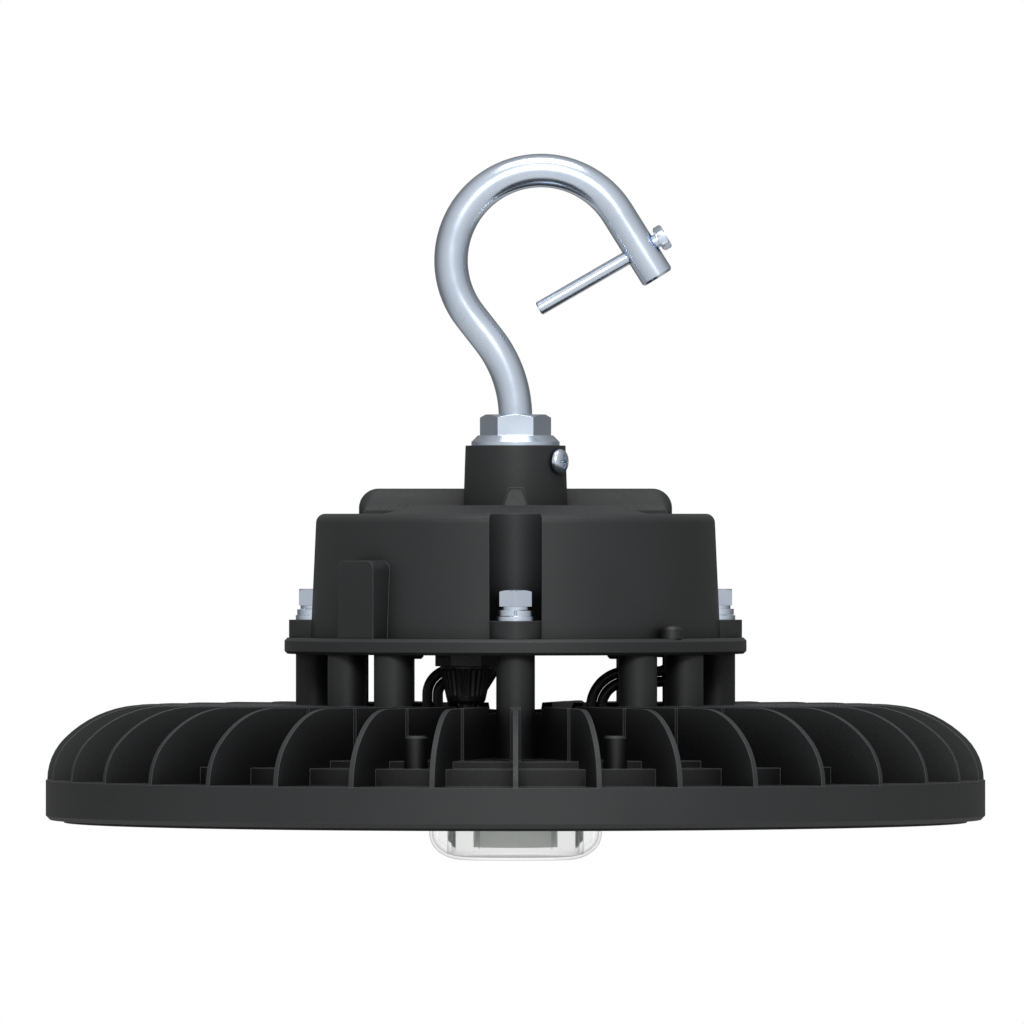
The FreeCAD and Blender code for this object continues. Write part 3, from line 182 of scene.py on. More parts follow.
@dataclass(frozen=True)
class Finish:
    """One real surface, made as a material.

    Attributes:
        name: Common name of the material and how it was made.
        slot: Slot of the record.
        colour: Main colour.
        roughness: Mean roughness.
        edge: Radius in millimetres by which light rounds the sharp edges.
        roughness_swing: How far the roughness strays from its mean.
    """

    name: str
    slot: Slot
    colour: str
    roughness: float
    edge: float = 0.3
    roughness_swing: float = 0.05

    def material(self) -> Material:
        """Make the material, or give the one already made.

        Returns:
            The material.
        """
        made = bpy.data.materials.get(self.name)
        if made is None:
            made = bpy.data.materials.new(self.name)
            made.use_nodes = True
            tree = made.node_tree
            tree.nodes.clear()
            plain = {"Base Color": linear(self.colour), "Roughness": self.roughness}
            shader = add_node(tree, "BsdfPrincipled", plain)
            add_node(tree, "OutputMaterial", {"Surface": shader})
            where = add_node(tree, "TexCoord").outputs["Object"]
            bevel = add_node(tree, "Bevel", {"Radius": self.edge * MM}, {"samples": 8})
            self.dress(Surface(tree, shader, where, bevel.outputs[0]))
        return made

    def roughness_ends(self) -> dict[str, float]:
        """Give the ends of the roughness.

        Returns:
            Inputs for a Map Range node.
        """
        swing = self.roughness_swing
        return {"To Min": self.roughness - swing, "To Max": self.roughness + swing}

    def dress(self, surface: Surface) -> None:
        """Give the shader this finish's own pattern.

        Args:
            surface: The material under construction.
        """
        raise NotImplementedError


@dataclass(frozen=True)
class PowderCoat(Finish):
    """Polyester powder coat on die-cast aluminium.

    It is an even charcoal with a dull sheen and a fine sandy grain, with painted shade that
    darkens the recesses between the fins and a painted highlight that pales the edges.
    """

    grain_size: float = 0.8  # four times as coarse as the real grain, so that it shows
    grain_depth: float = 0.03
    patch_size: float = 45.0
    deep: str = "#2A2B2C"
    # Painted highlight: the pale grey that the rounded edges are lightened toward
    edge_highlight_colour: str = "#5C5E60"
    # Painted shade: the near-black colour that the recesses between the fins are darkened toward
    recess_shade_colour: str = "#08080A"
    recess_shade_reach: float = 34.0
    recess_shade_span: tuple[float, float] = (0.25, 0.8)  # share of open sky, from dark to full colour
    edge_highlight_span: tuple[float, float] = (0.80, 0.99)  # cosine of the rounding, from full painted highlight to none
    edge_highlight_strength: float = 0.8
    gloss: float = 0.3
    roughness_swing: float = 0.06

    def dress(self, surface: Surface) -> None:
        """Add the sandy grain, faint patches, painted recess shade and painted edge highlights.

        Args:
            surface: The material under construction.
        """
        tree, where = surface.tree, surface.where
        inputs = {"Vector": where, "Scale": per_metre(self.grain_size), "Detail": 3.0}
        sand = add_node(tree, "TexNoise", inputs)
        inputs = {"Vector": where, "Scale": per_metre(self.patch_size), "Detail": 4.0}
        patches = add_node(tree, "TexNoise", inputs)
        patches = add_node(tree, "MapRange", {"Value": patches, **NOISE_SPAN})
        inputs = {0: patches, 6: linear(self.deep), 7: linear(self.colour)}
        body = add_node(tree, "Mix", inputs, IN_COLOUR).outputs[2]
        # Painted shade: ambient occlusion darkens the recesses between the fins toward a near-black
        # colour
        inputs = {"Distance": self.recess_shade_reach * MM}
        sky = add_node(tree, "AmbientOcclusion", inputs, {"samples": 8}).outputs["AO"]
        dark, full = self.recess_shade_span
        inputs = {"Value": sky, "From Min": dark, "From Max": full, "To Min": 1.0, "To Max": 0.0}
        recess = add_node(tree, "MapRange", inputs)
        inputs = {0: recess, 6: body, 7: linear(self.recess_shade_colour)}
        body = add_node(tree, "Mix", inputs, IN_COLOUR).outputs[2]
        # Painted highlight: where the bevel normal bends away from the face, the colour is
        # lightened
        flat = add_node(tree, "NewGeometry").outputs["Normal"]
        settings, inputs = {"operation": "DOT_PRODUCT"}, {0: surface.bevel, 1: flat}
        facing = add_node(tree, "VectorMath", inputs, settings).outputs["Value"]
        bent, even = self.edge_highlight_span
        inputs = {"Value": facing, "From Min": bent, "From Max": even}
        inputs |= {"To Min": self.edge_highlight_strength, "To Max": 0.0}
        painted_highlight = add_node(tree, "MapRange", inputs)
        inputs = {0: painted_highlight, 6: body, 7: linear(self.edge_highlight_colour)}
        colour = add_node(tree, "Mix", inputs, IN_COLOUR).outputs[2]
        rough = add_node(tree, "MapRange", {"Value": sand, **NOISE_SPAN, **self.roughness_ends()})
        inputs = {"Height": sand, "Distance": self.grain_depth * MM, "Normal": surface.bevel}
        relief = add_node(tree, "Bump", inputs)
        inputs = {"Base Color": colour, "Roughness": rough, "Normal": relief}
        connect(tree, surface.shader, inputs | {"Specular IOR Level": self.gloss})


@dataclass(frozen=True)
class ZincPlate(Finish):
    """Bright zinc plate with blue passivation on steel.

    It is a cool silver with a satin mirror, broken by faint clouds and fine handling marks.
    """

    cloud_size: float = 12.0
    mark_size: float = 1.5
    mark_depth: float = 0.0008
    cool: str = "#C2CEDE"
    roughness_swing: float = 0.03

    def dress(self, surface: Surface) -> None:
        """Add clouds in colour and gloss, and fine marks.

        Args:
            surface: The material under construction.
        """
        tree, where = surface.tree, surface.where
        inputs = {"Vector": where, "Scale": per_metre(self.cloud_size), "Detail": 3.0}
        clouds = add_node(tree, "TexNoise", inputs)
        inputs = {0: clouds, 6: linear(self.cool), 7: linear(self.colour)}
        colour = add_node(tree, "Mix", inputs, IN_COLOUR).outputs[2]
        rough = add_node(tree, "MapRange", {"Value": clouds, **NOISE_SPAN, **self.roughness_ends()})
        inputs = {"Vector": where, "Scale": per_metre(self.mark_size), "Detail": 3.0}
        marks = add_node(tree, "TexNoise", inputs)
        inputs = {"Height": marks, "Distance": self.mark_depth * MM, "Normal": surface.bevel}
        relief = add_node(tree, "Bump", inputs)
        inputs = {"Metallic": 1.0, "Base Color": colour, "Roughness": rough, "Normal": relief}
        connect(tree, surface.shader, inputs)


@dataclass(frozen=True)
class Moulded(Finish):
    """Moulded or extruded plastic or rubber.

    It has one colour, a soft sheen and the faint texture of its mould.
    """

    grain_size: float = 0.6
    grain_depth: float = 0.02
    patch_size: float = 12.0
    second: str = "#000000"
    sheen: float = 0.0

    def dress(self, surface: Surface) -> None:
        """Add the mould's texture and a faint change of colour.

        Args:
            surface: The material under construction.
        """
        tree, where = surface.tree, surface.where
        inputs = {"Vector": where, "Scale": per_metre(self.grain_size), "Detail": 3.0}
        texture = add_node(tree, "TexNoise", inputs)
        patches = add_node(tree, "TexNoise", {"Vector": where, "Scale": per_metre(self.patch_size)})
        inputs = {0: patches, 6: linear(self.colour), 7: linear(self.second)}
        colour = add_node(tree, "Mix", inputs, IN_COLOUR).outputs[2]
        inputs = {"Value": texture, **NOISE_SPAN, **self.roughness_ends()}
        rough = add_node(tree, "MapRange", inputs)
        inputs = {"Height": texture, "Distance": self.grain_depth * MM, "Normal": surface.bevel}
        relief = add_node(tree, "Bump", inputs)
        inputs = {"Base Color": colour, "Roughness": rough, "Normal": relief}
        connect(tree, surface.shader, inputs | {"Sheen Weight": self.sheen})


@dataclass(frozen=True)
class ClearPlastic(Finish):
    """Injection-moulded clear polycarbonate.

    It lets what is behind show, and turns grey and glossy where it is seen edge-on, with the slight
    waves of moulding in its glints.
    """

    ior: float = 1.585
    wave_size: float = 14.0
    wave_depth: float = 0.02
    body: float = 0.015
    rim: float = 0.7
    inner: float = 0.01
    edge_on_span: tuple[float, float] = (0.12, 0.75)  # reflection, from clear to grey
    dull_wave: float = 0.08

    def dress(self, surface: Surface) -> None:
        """Make it see-through by its Fresnel reflection, with faint moulding waves.

        Args:
            surface: The material under construction.
        """
        tree, where = surface.tree, surface.where
        inputs = {"Vector": where, "Scale": per_metre(self.wave_size), "Detail": 1.0}
        waves = add_node(tree, "TexNoise", inputs)
        inputs = {"Height": waves, "Distance": self.wave_depth * MM, "Normal": surface.bevel}
        relief = add_node(tree, "Bump", inputs)
        edge_on = add_node(tree, "Fresnel", {"IOR": self.ior, "Normal": relief})
        clear, grey = self.edge_on_span
        inputs = {"Value": edge_on, "From Min": clear, "From Max": grey}
        inputs |= {"To Min": self.body, "To Max": self.rim}
        cover = add_node(tree, "MapRange", inputs)
        inside = add_node(tree, "NewGeometry").outputs["Backfacing"]
        cover = add_node(tree, "Mix", {0: inside, 2: cover, 3: self.inner})
        inputs = {"Value": waves, **NOISE_SPAN}
        inputs |= {"To Min": self.roughness, "To Max": self.dull_wave}
        rough = add_node(tree, "MapRange", inputs)
        inputs = {"Alpha": cover, "IOR": self.ior, "Roughness": rough, "Normal": relief}
        connect(tree, surface.shader, inputs)


@dataclass(frozen=True)
class CircuitBoard(Finish):
    """Solder mask over etched copper on a board.

    It is a satin lacquer under which the copper tracks stand up as slightly paler bands.
    """

    track_size: float = 7.0
    track_high: float = 0.03
    gap_span: tuple[float, float] = (0.40, 0.44)  # share of a track's pitch where its edge falls
    track: str = "#FFFFFF"

    def dress(self, surface: Surface) -> None:
        """Add the raised tracks.

        Args:
            surface: The material under construction.
        """
        tree, where = surface.tree, surface.where
        inputs = {"Vector": where, "Scale": per_metre(self.track_size), "Randomness": 0.0}
        cells = add_node(tree, "TexVoronoi", inputs, {"distance": "CHEBYCHEV"})
        start, end = self.gap_span
        inputs = {"Value": cells.outputs["Distance"], "From Min": start, "From Max": end}
        bands = add_node(tree, "MapRange", inputs)
        inputs = {0: bands, 6: linear(self.track), 7: linear(self.colour)}
        colour = add_node(tree, "Mix", inputs, IN_COLOUR).outputs[2]
        inputs = {"Height": bands, "Distance": self.track_high * MM, "Normal": surface.bevel}
        relief = add_node(tree, "Bump", inputs)
        connect(tree, surface.shader, {"Base Color": colour, "Normal": relief})


@dataclass(frozen=True)
class Winding(Finish):
    """Enamelled copper wire, wound.

    It shows as fine shiny red-brown turns side by side.
    """

    wire_size: float = 0.7
    wire_depth: float = 0.2
    slack: float = 0.6
    metallic: float = 0.8
    shade: str = "#6B2E16"

    def dress(self, surface: Surface) -> None:
        """Add the turns as bands.

        Args:
            surface: The material under construction.
        """
        tree, where = surface.tree, surface.where
        scale = per_metre(self.wire_size) / math.tau
        inputs = {"Vector": where, "Scale": scale, "Distortion": self.slack}
        turns = add_node(tree, "TexWave", inputs, {"bands_direction": "DIAGONAL"}).outputs[1]
        inputs = {0: turns, 6: linear(self.shade), 7: linear(self.colour)}
        colour = add_node(tree, "Mix", inputs, IN_COLOUR).outputs[2]
        inputs = {"Height": turns, "Distance": self.wire_depth * MM, "Normal": surface.bevel}
        relief = add_node(tree, "Bump", inputs)
        inputs = {"Metallic": self.metallic, "Base Color": colour, "Normal": relief}
        connect(tree, surface.shader, inputs)


# An even charcoal with a dull sheen
COAT = PowderCoat("Powder coated cast aluminium", Slot.POWDER_COAT, "#2F3031", 0.52, 0.35)
# A bluish silver mirror, softened
ZINC = ZincPlate("Zinc plated steel", Slot.ZINC_PLATE, "#D5DFEC", 0.22, 0.12)
# Dull black metal that hides the screws under the driver
BLACK_ZINC = ZincPlate(
    "Black zinc plated steel", Slot.ZINC_PLATE, "#2B2C2F", 0.45, 0.25, cool="#232427"
)
# Black with a soft mould sheen
NYLON = Moulded("Moulded black nylon", Slot.BLACK_PLASTIC, "#101112", 0.46, second="#151618")
# Black and dull, with a trace of dust
RUBBER = Moulded(
    "Moulded black rubber", Slot.RUBBER, "#0F0F10", 0.62, second="#171718", sheen=0.1
)
# A smooth dark jacket that catches one line of light
JACKET = Moulded(
    "Extruded silicone jacket", Slot.CABLE_JACKET, "#0E0E10", 0.42, second="#161618", grain_size=1.2
)
# White, so that it stays pale inside the cover
WHITE = Moulded(
    "Moulded white polycarbonate", Slot.GREY_PLASTIC, "#FFFFFF", 0.40, second="#F8FAFA"
)
# Milky, so that the module shows dimly through the barrel
MILKY = ClearPlastic(
    "Moulded milky polycarbonate", Slot.GREY_PLASTIC, "#F8FAFB", 0.2, body=0.16, rim=0.75
)
# A half-gloss black body
EPOXY = Moulded("Moulded black epoxy", Slot.COMPONENT_BLACK, "#1A1A1C", 0.48, second="#232325")
# A dull warm white
SILICONE = Moulded("Cast silicone rubber", Slot.SILICONE, "#D9D6CE", 0.55, second="#CFCBC2")
# The warm yellow of an LED that is off
PHOSPHOR = Moulded("Phosphor in silicone", Slot.PHOSPHOR, "#E8C530", 0.50, second="#DDB722")
# See-through with grey edges
CLEAR = ClearPlastic("Moulded clear polycarbonate", Slot.CLEAR_PLASTIC, "#DFE3E5", 0.03)
# Satin white with raised tracks
WHITE_BOARD = CircuitBoard(
    "White solder mask on aluminium", Slot.CIRCUIT_BOARD, "#E4E5E3", 0.38, track="#EDEEED"
)
# Satin green with paler tracks
GREEN_BOARD = CircuitBoard(
    "Green solder mask on laminate", Slot.GREEN_BOARD, "#1C5A35", 0.35, track="#2A7546"
)
# Shiny red-brown turns
COPPER = Winding("Enamelled copper winding", Slot.COPPER, "#B5643A", 0.30)


# Meshes


@dataclass
class Ring:
    """One level of a turned shape, in millimetres.

    Attributes:
        radius: Radius.
        level: Height along the axis.
        flute: Depth of the flutes at this level.
    """

    radius: float
    level: float
    flute: float = 0.0


COIL_STEPS = 60
SHARP_ANGLE = math.radians(32)


@dataclass
class Shape:
    """A mesh under construction, in metres."""

    bm: bmesh.types.BMesh = field(default_factory=bmesh.new)

    def turned(
        self,
        rings: Sequence[Ring],
        place: Matrix = Matrix(),
        around: int = 48,
        flutes: int = 0,
        flats: float = 0.0,
    ) -> None:
        """Add a turned shape whose rings run along its axis.

        Args:
            rings: Its levels. A radius of 0 closes an end, and an outline that ends where it
                began is a tube.
            place: Where its axis stands.
            around: Vertices in a ring.
            flutes: Number of flutes round it.
            flats: Width across flats of the hexagon that it is milled to, or 0.
        """
        loops = []
        for ring in rings:
            if ring.radius == 0:
                loops.append([self.bm.verts.new(place @ Vector((0, 0, ring.level * MM)))])
                continue
            loop = []
            for step in range(around):
                angle = math.tau * step / around
                radius = ring.radius - ring.flute * 0.5 * (1 + math.cos(flutes * angle))
                if flats:
                    across = (angle + math.pi / 6) % (math.pi / 3) - math.pi / 6
                    radius = min(radius, flats / 2 / math.cos(across))
                spot = Vector((math.cos(angle) * radius, math.sin(angle) * radius, ring.level)) * MM
                loop.append(self.bm.verts.new(place @ spot))
            loops.append(loop)
        for low, high in zip(loops, loops[1:]):
            self.skin(low, high, around)

    def skin(self, low: list, high: list, around: int) -> None:
        """Join two rings of vertices, one of which may be a single point.

        Args:
            low: Vertices of the first ring.
            high: Vertices of the second ring.
            around: Vertices in a full ring.
        """
        for step in range(around):
            after = (step + 1) % around
            if len(low) == 1 and len(high) == 1:
                return
            if len(low) == 1:
                self.bm.faces.new((low[0], high[step], high[after]))
            elif len(high) == 1:
                self.bm.faces.new((low[step], high[0], low[after]))
            else:
                self.bm.faces.new((low[step], high[step], high[after], low[after]))

    def coil(
        self, radius: float, width: float, thick: float, rise: float, gap: float, place: Matrix
    ) -> None:
        """Add a split spring washer.

        Args:
            radius: Mean radius in millimetres.
            width: Width of its section.
            thick: Height of its section.
            rise: How far one end stands above the other.
            gap: Angle of the split, in radians.
            place: Where its axis stands.
        """
        sections = []
        for step in range(COIL_STEPS + 1):
            share = step / COIL_STEPS
            angle = gap / 2 + (math.tau - gap) * share
            out = Vector((math.cos(angle), math.sin(angle), 0))
            section = []
            for across, high in ((-1, 0), (1, 0), (1, 1), (-1, 1)):
                spot = out * (radius + across * width / 2) + UP * (high * thick + rise * share)
                section.append(self.bm.verts.new(place @ (spot * MM)))
            sections.append(section)
        for one, two in zip(sections, sections[1:]):
            for side in range(4):
                after = (side + 1) % 4
                self.bm.faces.new((one[side], two[side], two[after], one[after]))
        self.bm.faces.new(sections[0])
        self.bm.faces.new(list(reversed(sections[-1])))

    def slab(self, low: Vector, high: Vector, place: Matrix, taper: float) -> None:
        """Add a block whose low end is narrower.

        Args:
            low: Its low corner in millimetres.
            high: Its high corner.
            place: Where its origin stands.
            taper: By how much each side of the low end stands in.
        """
        corners = []
        for level, inset in ((low.z, taper), (high.z, 0.0)):
            xs, ys = (low.x + inset, high.x - inset), (low.y + inset, high.y - inset)
            outline = ((xs[0], ys[0]), (xs[1], ys[0]), (xs[1], ys[1]), (xs[0], ys[1]))
            spots = [place @ (Vector((x, y, level)) * MM) for x, y in outline]
            corners.append([self.bm.verts.new(spot) for spot in spots])
        self.bm.faces.new(list(reversed(corners[0])))
        self.bm.faces.new(corners[1])
        for side in range(4):
            after = (side + 1) % 4
            bottom, top = corners
            self.bm.faces.new((bottom[side], bottom[after], top[after], top[side]))

    def loft(self, outlines: Sequence[Sequence[Vector]]) -> None:
        """Add a closed solid through outlines that have equally many points.

        Args:
            outlines: Its cross-sections in millimetres, from one end to the other.
        """
        loops = [[self.bm.verts.new(spot * MM) for spot in outline] for outline in outlines]
        self.bm.faces.new(list(reversed(loops[0])))
        self.bm.faces.new(loops[-1])
        for low, high in zip(loops, loops[1:]):
            self.skin(low, high, len(low))

    def copies(self, mesh: Mesh, places: Iterable[Matrix]) -> None:
        """Add copies of a mesh at several places.

        Args:
            mesh: The mesh.
            places: Where each copy stands.
        """
        for place in places:
            copy = mesh.copy()
            copy.transform(place)
            self.bm.from_mesh(copy)
            bpy.data.meshes.remove(copy)

    def mesh(self, name: str) -> Mesh:
        """Close the shape and give it as a mesh.

        Args:
            name: Name of the mesh.

        Returns:
            The mesh; the shape is used up.
        """
        bmesh.ops.recalc_face_normals(self.bm, faces=self.bm.faces)
        made = bpy.data.meshes.new(name)
        self.bm.to_mesh(made)
        self.bm.free()
        return made


def carved(base: Mesh, tool: Mesh, operation: str) -> Mesh:
    """Cut or join two meshes.

    Args:
        base: The mesh that is worked on.
        tool: The mesh that cuts it or is joined to it.
        operation: DIFFERENCE or UNION.

    Returns:
        The new mesh.
    """
    scene = bpy.context.scene.collection.objects
    work = bpy.data.objects.new("work", base)
    cutter = bpy.data.objects.new("cutter", tool)
    scene.link(work)
    scene.link(cutter)
    step = work.modifiers.new("carve", "BOOLEAN")
    step.object = cutter
    step.operation = operation
    step.solver = "EXACT"
    graph = bpy.context.evaluated_depsgraph_get()
    made = bpy.data.meshes.new_from_object(work.evaluated_get(graph))
    bpy.data.objects.remove(work)
    bpy.data.objects.remove(cutter)
    return made


def add_piece(name: str, mesh: Mesh, finish: Finish, replaced: Sequence[str] = ()) -> None:
    """Add a piece of the light to the scene.

    Args:
        name: Name of the piece.
        mesh: Its mesh, in the row's frame.
        finish: Its finish.
        replaced: CAD nodes that it stands for.
    """
    mesh.materials.clear()
    mesh.materials.append(finish.material())
    mesh.shade_smooth()
    mesh.set_sharp_from_angle(angle=SHARP_ANGLE)
    piece = bpy.data.objects.new(name, mesh)
    bpy.context.scene.collection.objects.link(piece)
    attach(piece, "root")
    if replaced:
        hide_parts(*replaced)
    LOG.info("%s: %d faces, %s", name, len(mesh.polygons), finish.name)


def dress_nodes(finish: Finish, *nodes: str) -> None:
    """Give CAD nodes a finish.

    Args:
        finish: The finish.
        nodes: Names of the nodes.
    """
    for node in nodes:
        mesh = frame["nodes"][node].data
        mesh.materials.clear()
        mesh.materials.append(finish.material())
        LOG.info("%s: %s", node, finish.name)


def standing(point: Vector, direction: Vector = UP) -> Matrix:
    """Stand an axis at a point.

    Args:
        point: The point, in metres.
        direction: Where the axis points.

    Returns:
        The matrix that does so.
    """
    return Matrix.Translation(point) @ direction.to_track_quat("Z", "Y").to_matrix().to_4x4()


def spread(count: int, radius: float, level: float, first: float = 0.0) -> list[Matrix]:
    """Give places evenly round the light's axis.

    Args:
        count: How many.
        radius: Their distance from the axis in millimetres.
        level: Their height.
        first: Angle of the first in degrees.

    Returns:
        The places.
    """
    angles = [math.radians(first) + math.tau * step / count for step in range(count)]
    out = Matrix.Translation(Vector((radius, 0, level)) * MM)
    return [Matrix.Rotation(angle, 4, "Z") @ out for angle in angles]


# A cross-head screw: angles of its crown's rings, then its rim, its end and its recess as shares of
# the head or the shank
CROWN_ANGLES = (0, 0.35, 0.7, 1.1)
RIM_HIGH = 0.35
END_RADIUS = 0.7
END_START = 0.9
RECESS_REACH = 0.58
RECESS_HALF = 0.13
RECESS_FLOOR = 0.25
RECESS_TOP = 1.2
RECESS_TAPER = 0.6


def cross_head(
    head_radius: float, head_high: float, shank_radius: float, shank_long: float
) -> Mesh:
    """Make a pan-head screw with a cross recess; its head sits on 0 and points up.

    Args:
        head_radius: Radius of the head in millimetres.
        head_high: Height of the head.
        shank_radius: Radius of the shank.
        shank_long: Length of the shank.

    Returns:
        The screw's mesh, in metres.
    """
    screw = Shape()
    crown = []
    for angle in CROWN_ANGLES:
        level = head_high * (RIM_HIGH + (1 - RIM_HIGH) * math.sin(angle))
        crown.append(Ring(head_radius * math.cos(angle), level))
    screw.turned(
        [
            Ring(0, -shank_long),
            Ring(shank_radius * END_RADIUS, -shank_long),
            Ring(shank_radius, -shank_long * END_START),
            Ring(shank_radius, 0),
            Ring(head_radius, 0),
            *crown,
            Ring(0, head_high),
        ]
    )
    made = screw.mesh("screw")
    reach, half = head_radius * RECESS_REACH, head_radius * RECESS_HALF
    low = Vector((-reach, -half, head_high * RECESS_FLOOR))
    high = Vector((reach, half, head_high * RECESS_TOP))
    for turn in (0, math.pi / 2):
        bar = Shape()
        bar.slab(low, high, Matrix.Rotation(turn, 4, "Z"), half * RECESS_TAPER)
        made = carved(made, bar.mesh("bar"), "DIFFERENCE")
    return made


# Sub-assemblies


@dataclass
class Hanger:
    """Hook, its gate screw, adapter, nut and lock screw, in millimetres."""

    gate_radius: float = 2.5
    gate_slope: float = 30.0
    gate_long: float = 49.0
    gate_flats: float = 8.0
    gate_head: float = 3.5
    gate_bevel: float = 0.45
    washer_face: float = 0.3
    washer_share: float = 0.95
    hex_foot: float = 0.02
    hex_chamfer: float = 0.43
    hex_crown: float = 0.6
    hex_dish: float = 0.1
    lock_angle: float = 56.0
    lock_seat: float = 18.55
    lock_head: float = 4.4
    lock_high: float = 2.6
    lock_shank: float = 2.0
    lock_long: float = 5.4

    def build(self) -> None:
        """Make the fine fasteners and dress the forged and turned pieces."""
        dress_nodes(ZINC, "hook_rod", "hook_adapter", "hook_washer", "hook_nut")
        self.build_gate_screw()
        self.build_lock_screw()

    def build_gate_screw(self) -> None:
        """Make the gate screw with a bevelled end, a washer face and a milled hexagon."""
        slope = math.radians(self.gate_slope)
        way = Vector((math.cos(slope), 0, math.sin(slope)))
        low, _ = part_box("gate_screw")
        end = low + Vector((math.sin(slope), 0, math.cos(slope))) * self.gate_radius * MM
        end.y = 0
        top = self.gate_long + self.gate_head
        face = self.gate_flats / 2
        corner = face / math.cos(math.pi / 6)
        seat = self.gate_long + self.washer_face
        screw = Shape()
        screw.turned(
            [
                Ring(0, 0),
                Ring(self.gate_radius - self.gate_bevel, 0),
                Ring(self.gate_radius, self.gate_bevel),
                Ring(self.gate_radius, self.gate_long),
                Ring(face * self.washer_share, self.gate_long),
                Ring(face * self.washer_share, seat),
                Ring(face, seat + self.hex_foot),
                Ring(corner, seat + self.hex_foot + self.hex_chamfer),
                Ring(corner, top - self.hex_crown),
                Ring(face, top),
                Ring(0, top - self.hex_dish),
            ],
            standing(end, way),
            around=60,
            flats=self.gate_flats,
        )
        add_piece("gate_screw_milled", screw.mesh("gate_screw_milled"), ZINC, ["gate_screw"])

    def build_lock_screw(self) -> None:
        """Make the cross-head screw that locks the adapter in the neck."""
        angle = math.radians(self.lock_angle)
        way = Vector((math.sin(angle), -math.cos(angle), 0))
        low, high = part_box("neck_lock_screw")
        seat = way * self.lock_seat * MM + UP * (low.z + high.z) / 2
        mesh = cross_head(self.lock_head, self.lock_high, self.lock_shank, self.lock_long)
        mesh.transform(standing(seat, way))
        add_piece("neck_lock_screw_crossed", mesh, ZINC, ["neck_lock_screw"])


@dataclass
class DriverBox:
    """Driver housing with its base, captive screws and inner parts, in millimetres."""

    screw_ring: float = 71.5
    spring_radius: float = 4.85
    spring_width: float = 3.1
    spring_rise: float = 0.25
    spring_gap: float = 9.0
    roof: float = 123.4
    hump_half_width: float = 56.0
    hump_top: float = 132.4
    hump_front: float = 16.0
    hump_round: float = 7.0
    hump_slope: float = 5.0
    hump_sink: float = 1.0
    hump_edge: float = 0.3
    hump_steps: int = 8
    # share of the slope's depth, share of the hump's height, and width lost, at each outline
    hump_outlines: tuple[tuple[float, float, float], ...] = (
        (0.0, 0.0, 0.0),
        (0.35, 0.15, 0.2),
        (1.0, 0.85, 1.6),
    )
    eye_front: float = -33.0
    eye_back: float = -25.0
    eye_foot: float = 11.0
    eye_width: float = 5.4
    eye_top: float = 132.7
    eye_slope: float = 2.6
    eye_cover: float = 0.12
    eye_wrap: float = 0.2
    eye_sink: float = 0.5
    eye_soft: float = 0.7
    eye_taper_end: float = 0.9
    # share of the lug's height, and how far the outline stands in
    eye_outlines: tuple[tuple[float, float], ...] = (
        (0.0, 0.0),
        (0.8, 0.0),
        (0.9, 0.35),
        (0.96, 0.9),
        (1.0, 1.8),
    )

    def build(self) -> None:
        """Dress the castings and inner parts, and make the split washers."""
        dress_nodes(COAT, "driver_housing", "driver_base")
        dress_nodes(ZINC, "mounting_screws", "flat_washers", "board_screws")
        dress_nodes(BLACK_ZINC, "base_screws")
        dress_nodes(NYLON, "vent_plug")
        dress_nodes(SILICONE, "driver_gasket")
        dress_nodes(GREEN_BOARD, "driver_board", "terminal_block")
        dress_nodes(EPOXY, "transformer", "capacitors")
        dress_nodes(COPPER, "inductor")
        self.build_spring_washers()
        self.build_hump_slope()
        self.build_eye_face()

    def build_hump_slope(self) -> None:
        """Make the drafted front face of the hump behind the neck."""
        arc = [math.pi / 2 * step / self.hump_steps for step in range(self.hump_steps + 1)]
        outlines = []
        for back, drop, inset in self.hump_outlines:
            half = self.hump_half_width - inset
            top = self.hump_top - drop * (self.hump_top - self.roof)
            bend = min(self.hump_round, top - self.roof - self.hump_edge)
            right = [
                (half - bend + bend * math.cos(a), top - bend + bend * math.sin(a)) for a in arc
            ]
            left = [(-x, z) for x, z in reversed(right)]
            foot = self.roof - self.hump_sink
            y = self.hump_front - back * self.hump_slope
            corners = [(-half, foot), (half, foot), *right, *left]
            outlines.append([Vector((x, y, z)) for x, z in corners])
        slope = Shape()
        slope.loft(outlines)
        add_piece("hump_slope", slope.mesh("hump_slope"), COAT)

    def build_eye_face(self) -> None:
        """Make the eye lug's drafted face and round its top."""
        high = self.eye_top - self.roof + self.eye_sink + self.eye_cover
        soft = self.eye_soft
        outlines = []
        for rise, inset in self.eye_outlines:
            taper = min(rise, self.eye_taper_end) / self.eye_taper_end
            width = self.eye_foot + (self.eye_width - self.eye_foot) * taper
            half = width / 2 + self.eye_cover - inset
            front = self.eye_front - self.eye_wrap - self.eye_slope * (1 - rise) + inset
            back = self.eye_back + self.eye_wrap - inset
            z = self.roof - self.eye_sink + rise * high
            right = [(half, back), (half, front + soft), (half - soft, front)]
            left = [(soft - half, front), (-half, front + soft)]
            outlines.append([Vector((x, y, z)) for x, y in [(-half, back), *right, *left]])
        eye = Shape()
        eye.loft(outlines)
        add_piece("eye_lug_face", eye.mesh("eye_lug_face"), COAT)

    def build_spring_washers(self) -> None:
        """Make the split washers under the captive screws' heads."""
        low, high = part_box("spring_washers")
        rise = self.spring_rise
        thick = (high.z - low.z) / MM - rise
        gap = math.radians(self.spring_gap)
        washers = Shape()
        for place in spread(4, self.screw_ring, low.z / MM):
            washers.coil(self.spring_radius, self.spring_width, thick, rise, gap, place)
        mesh = washers.mesh("spring_washers_split")
        add_piece("spring_washers_split", mesh, ZINC, ["spring_washers"])


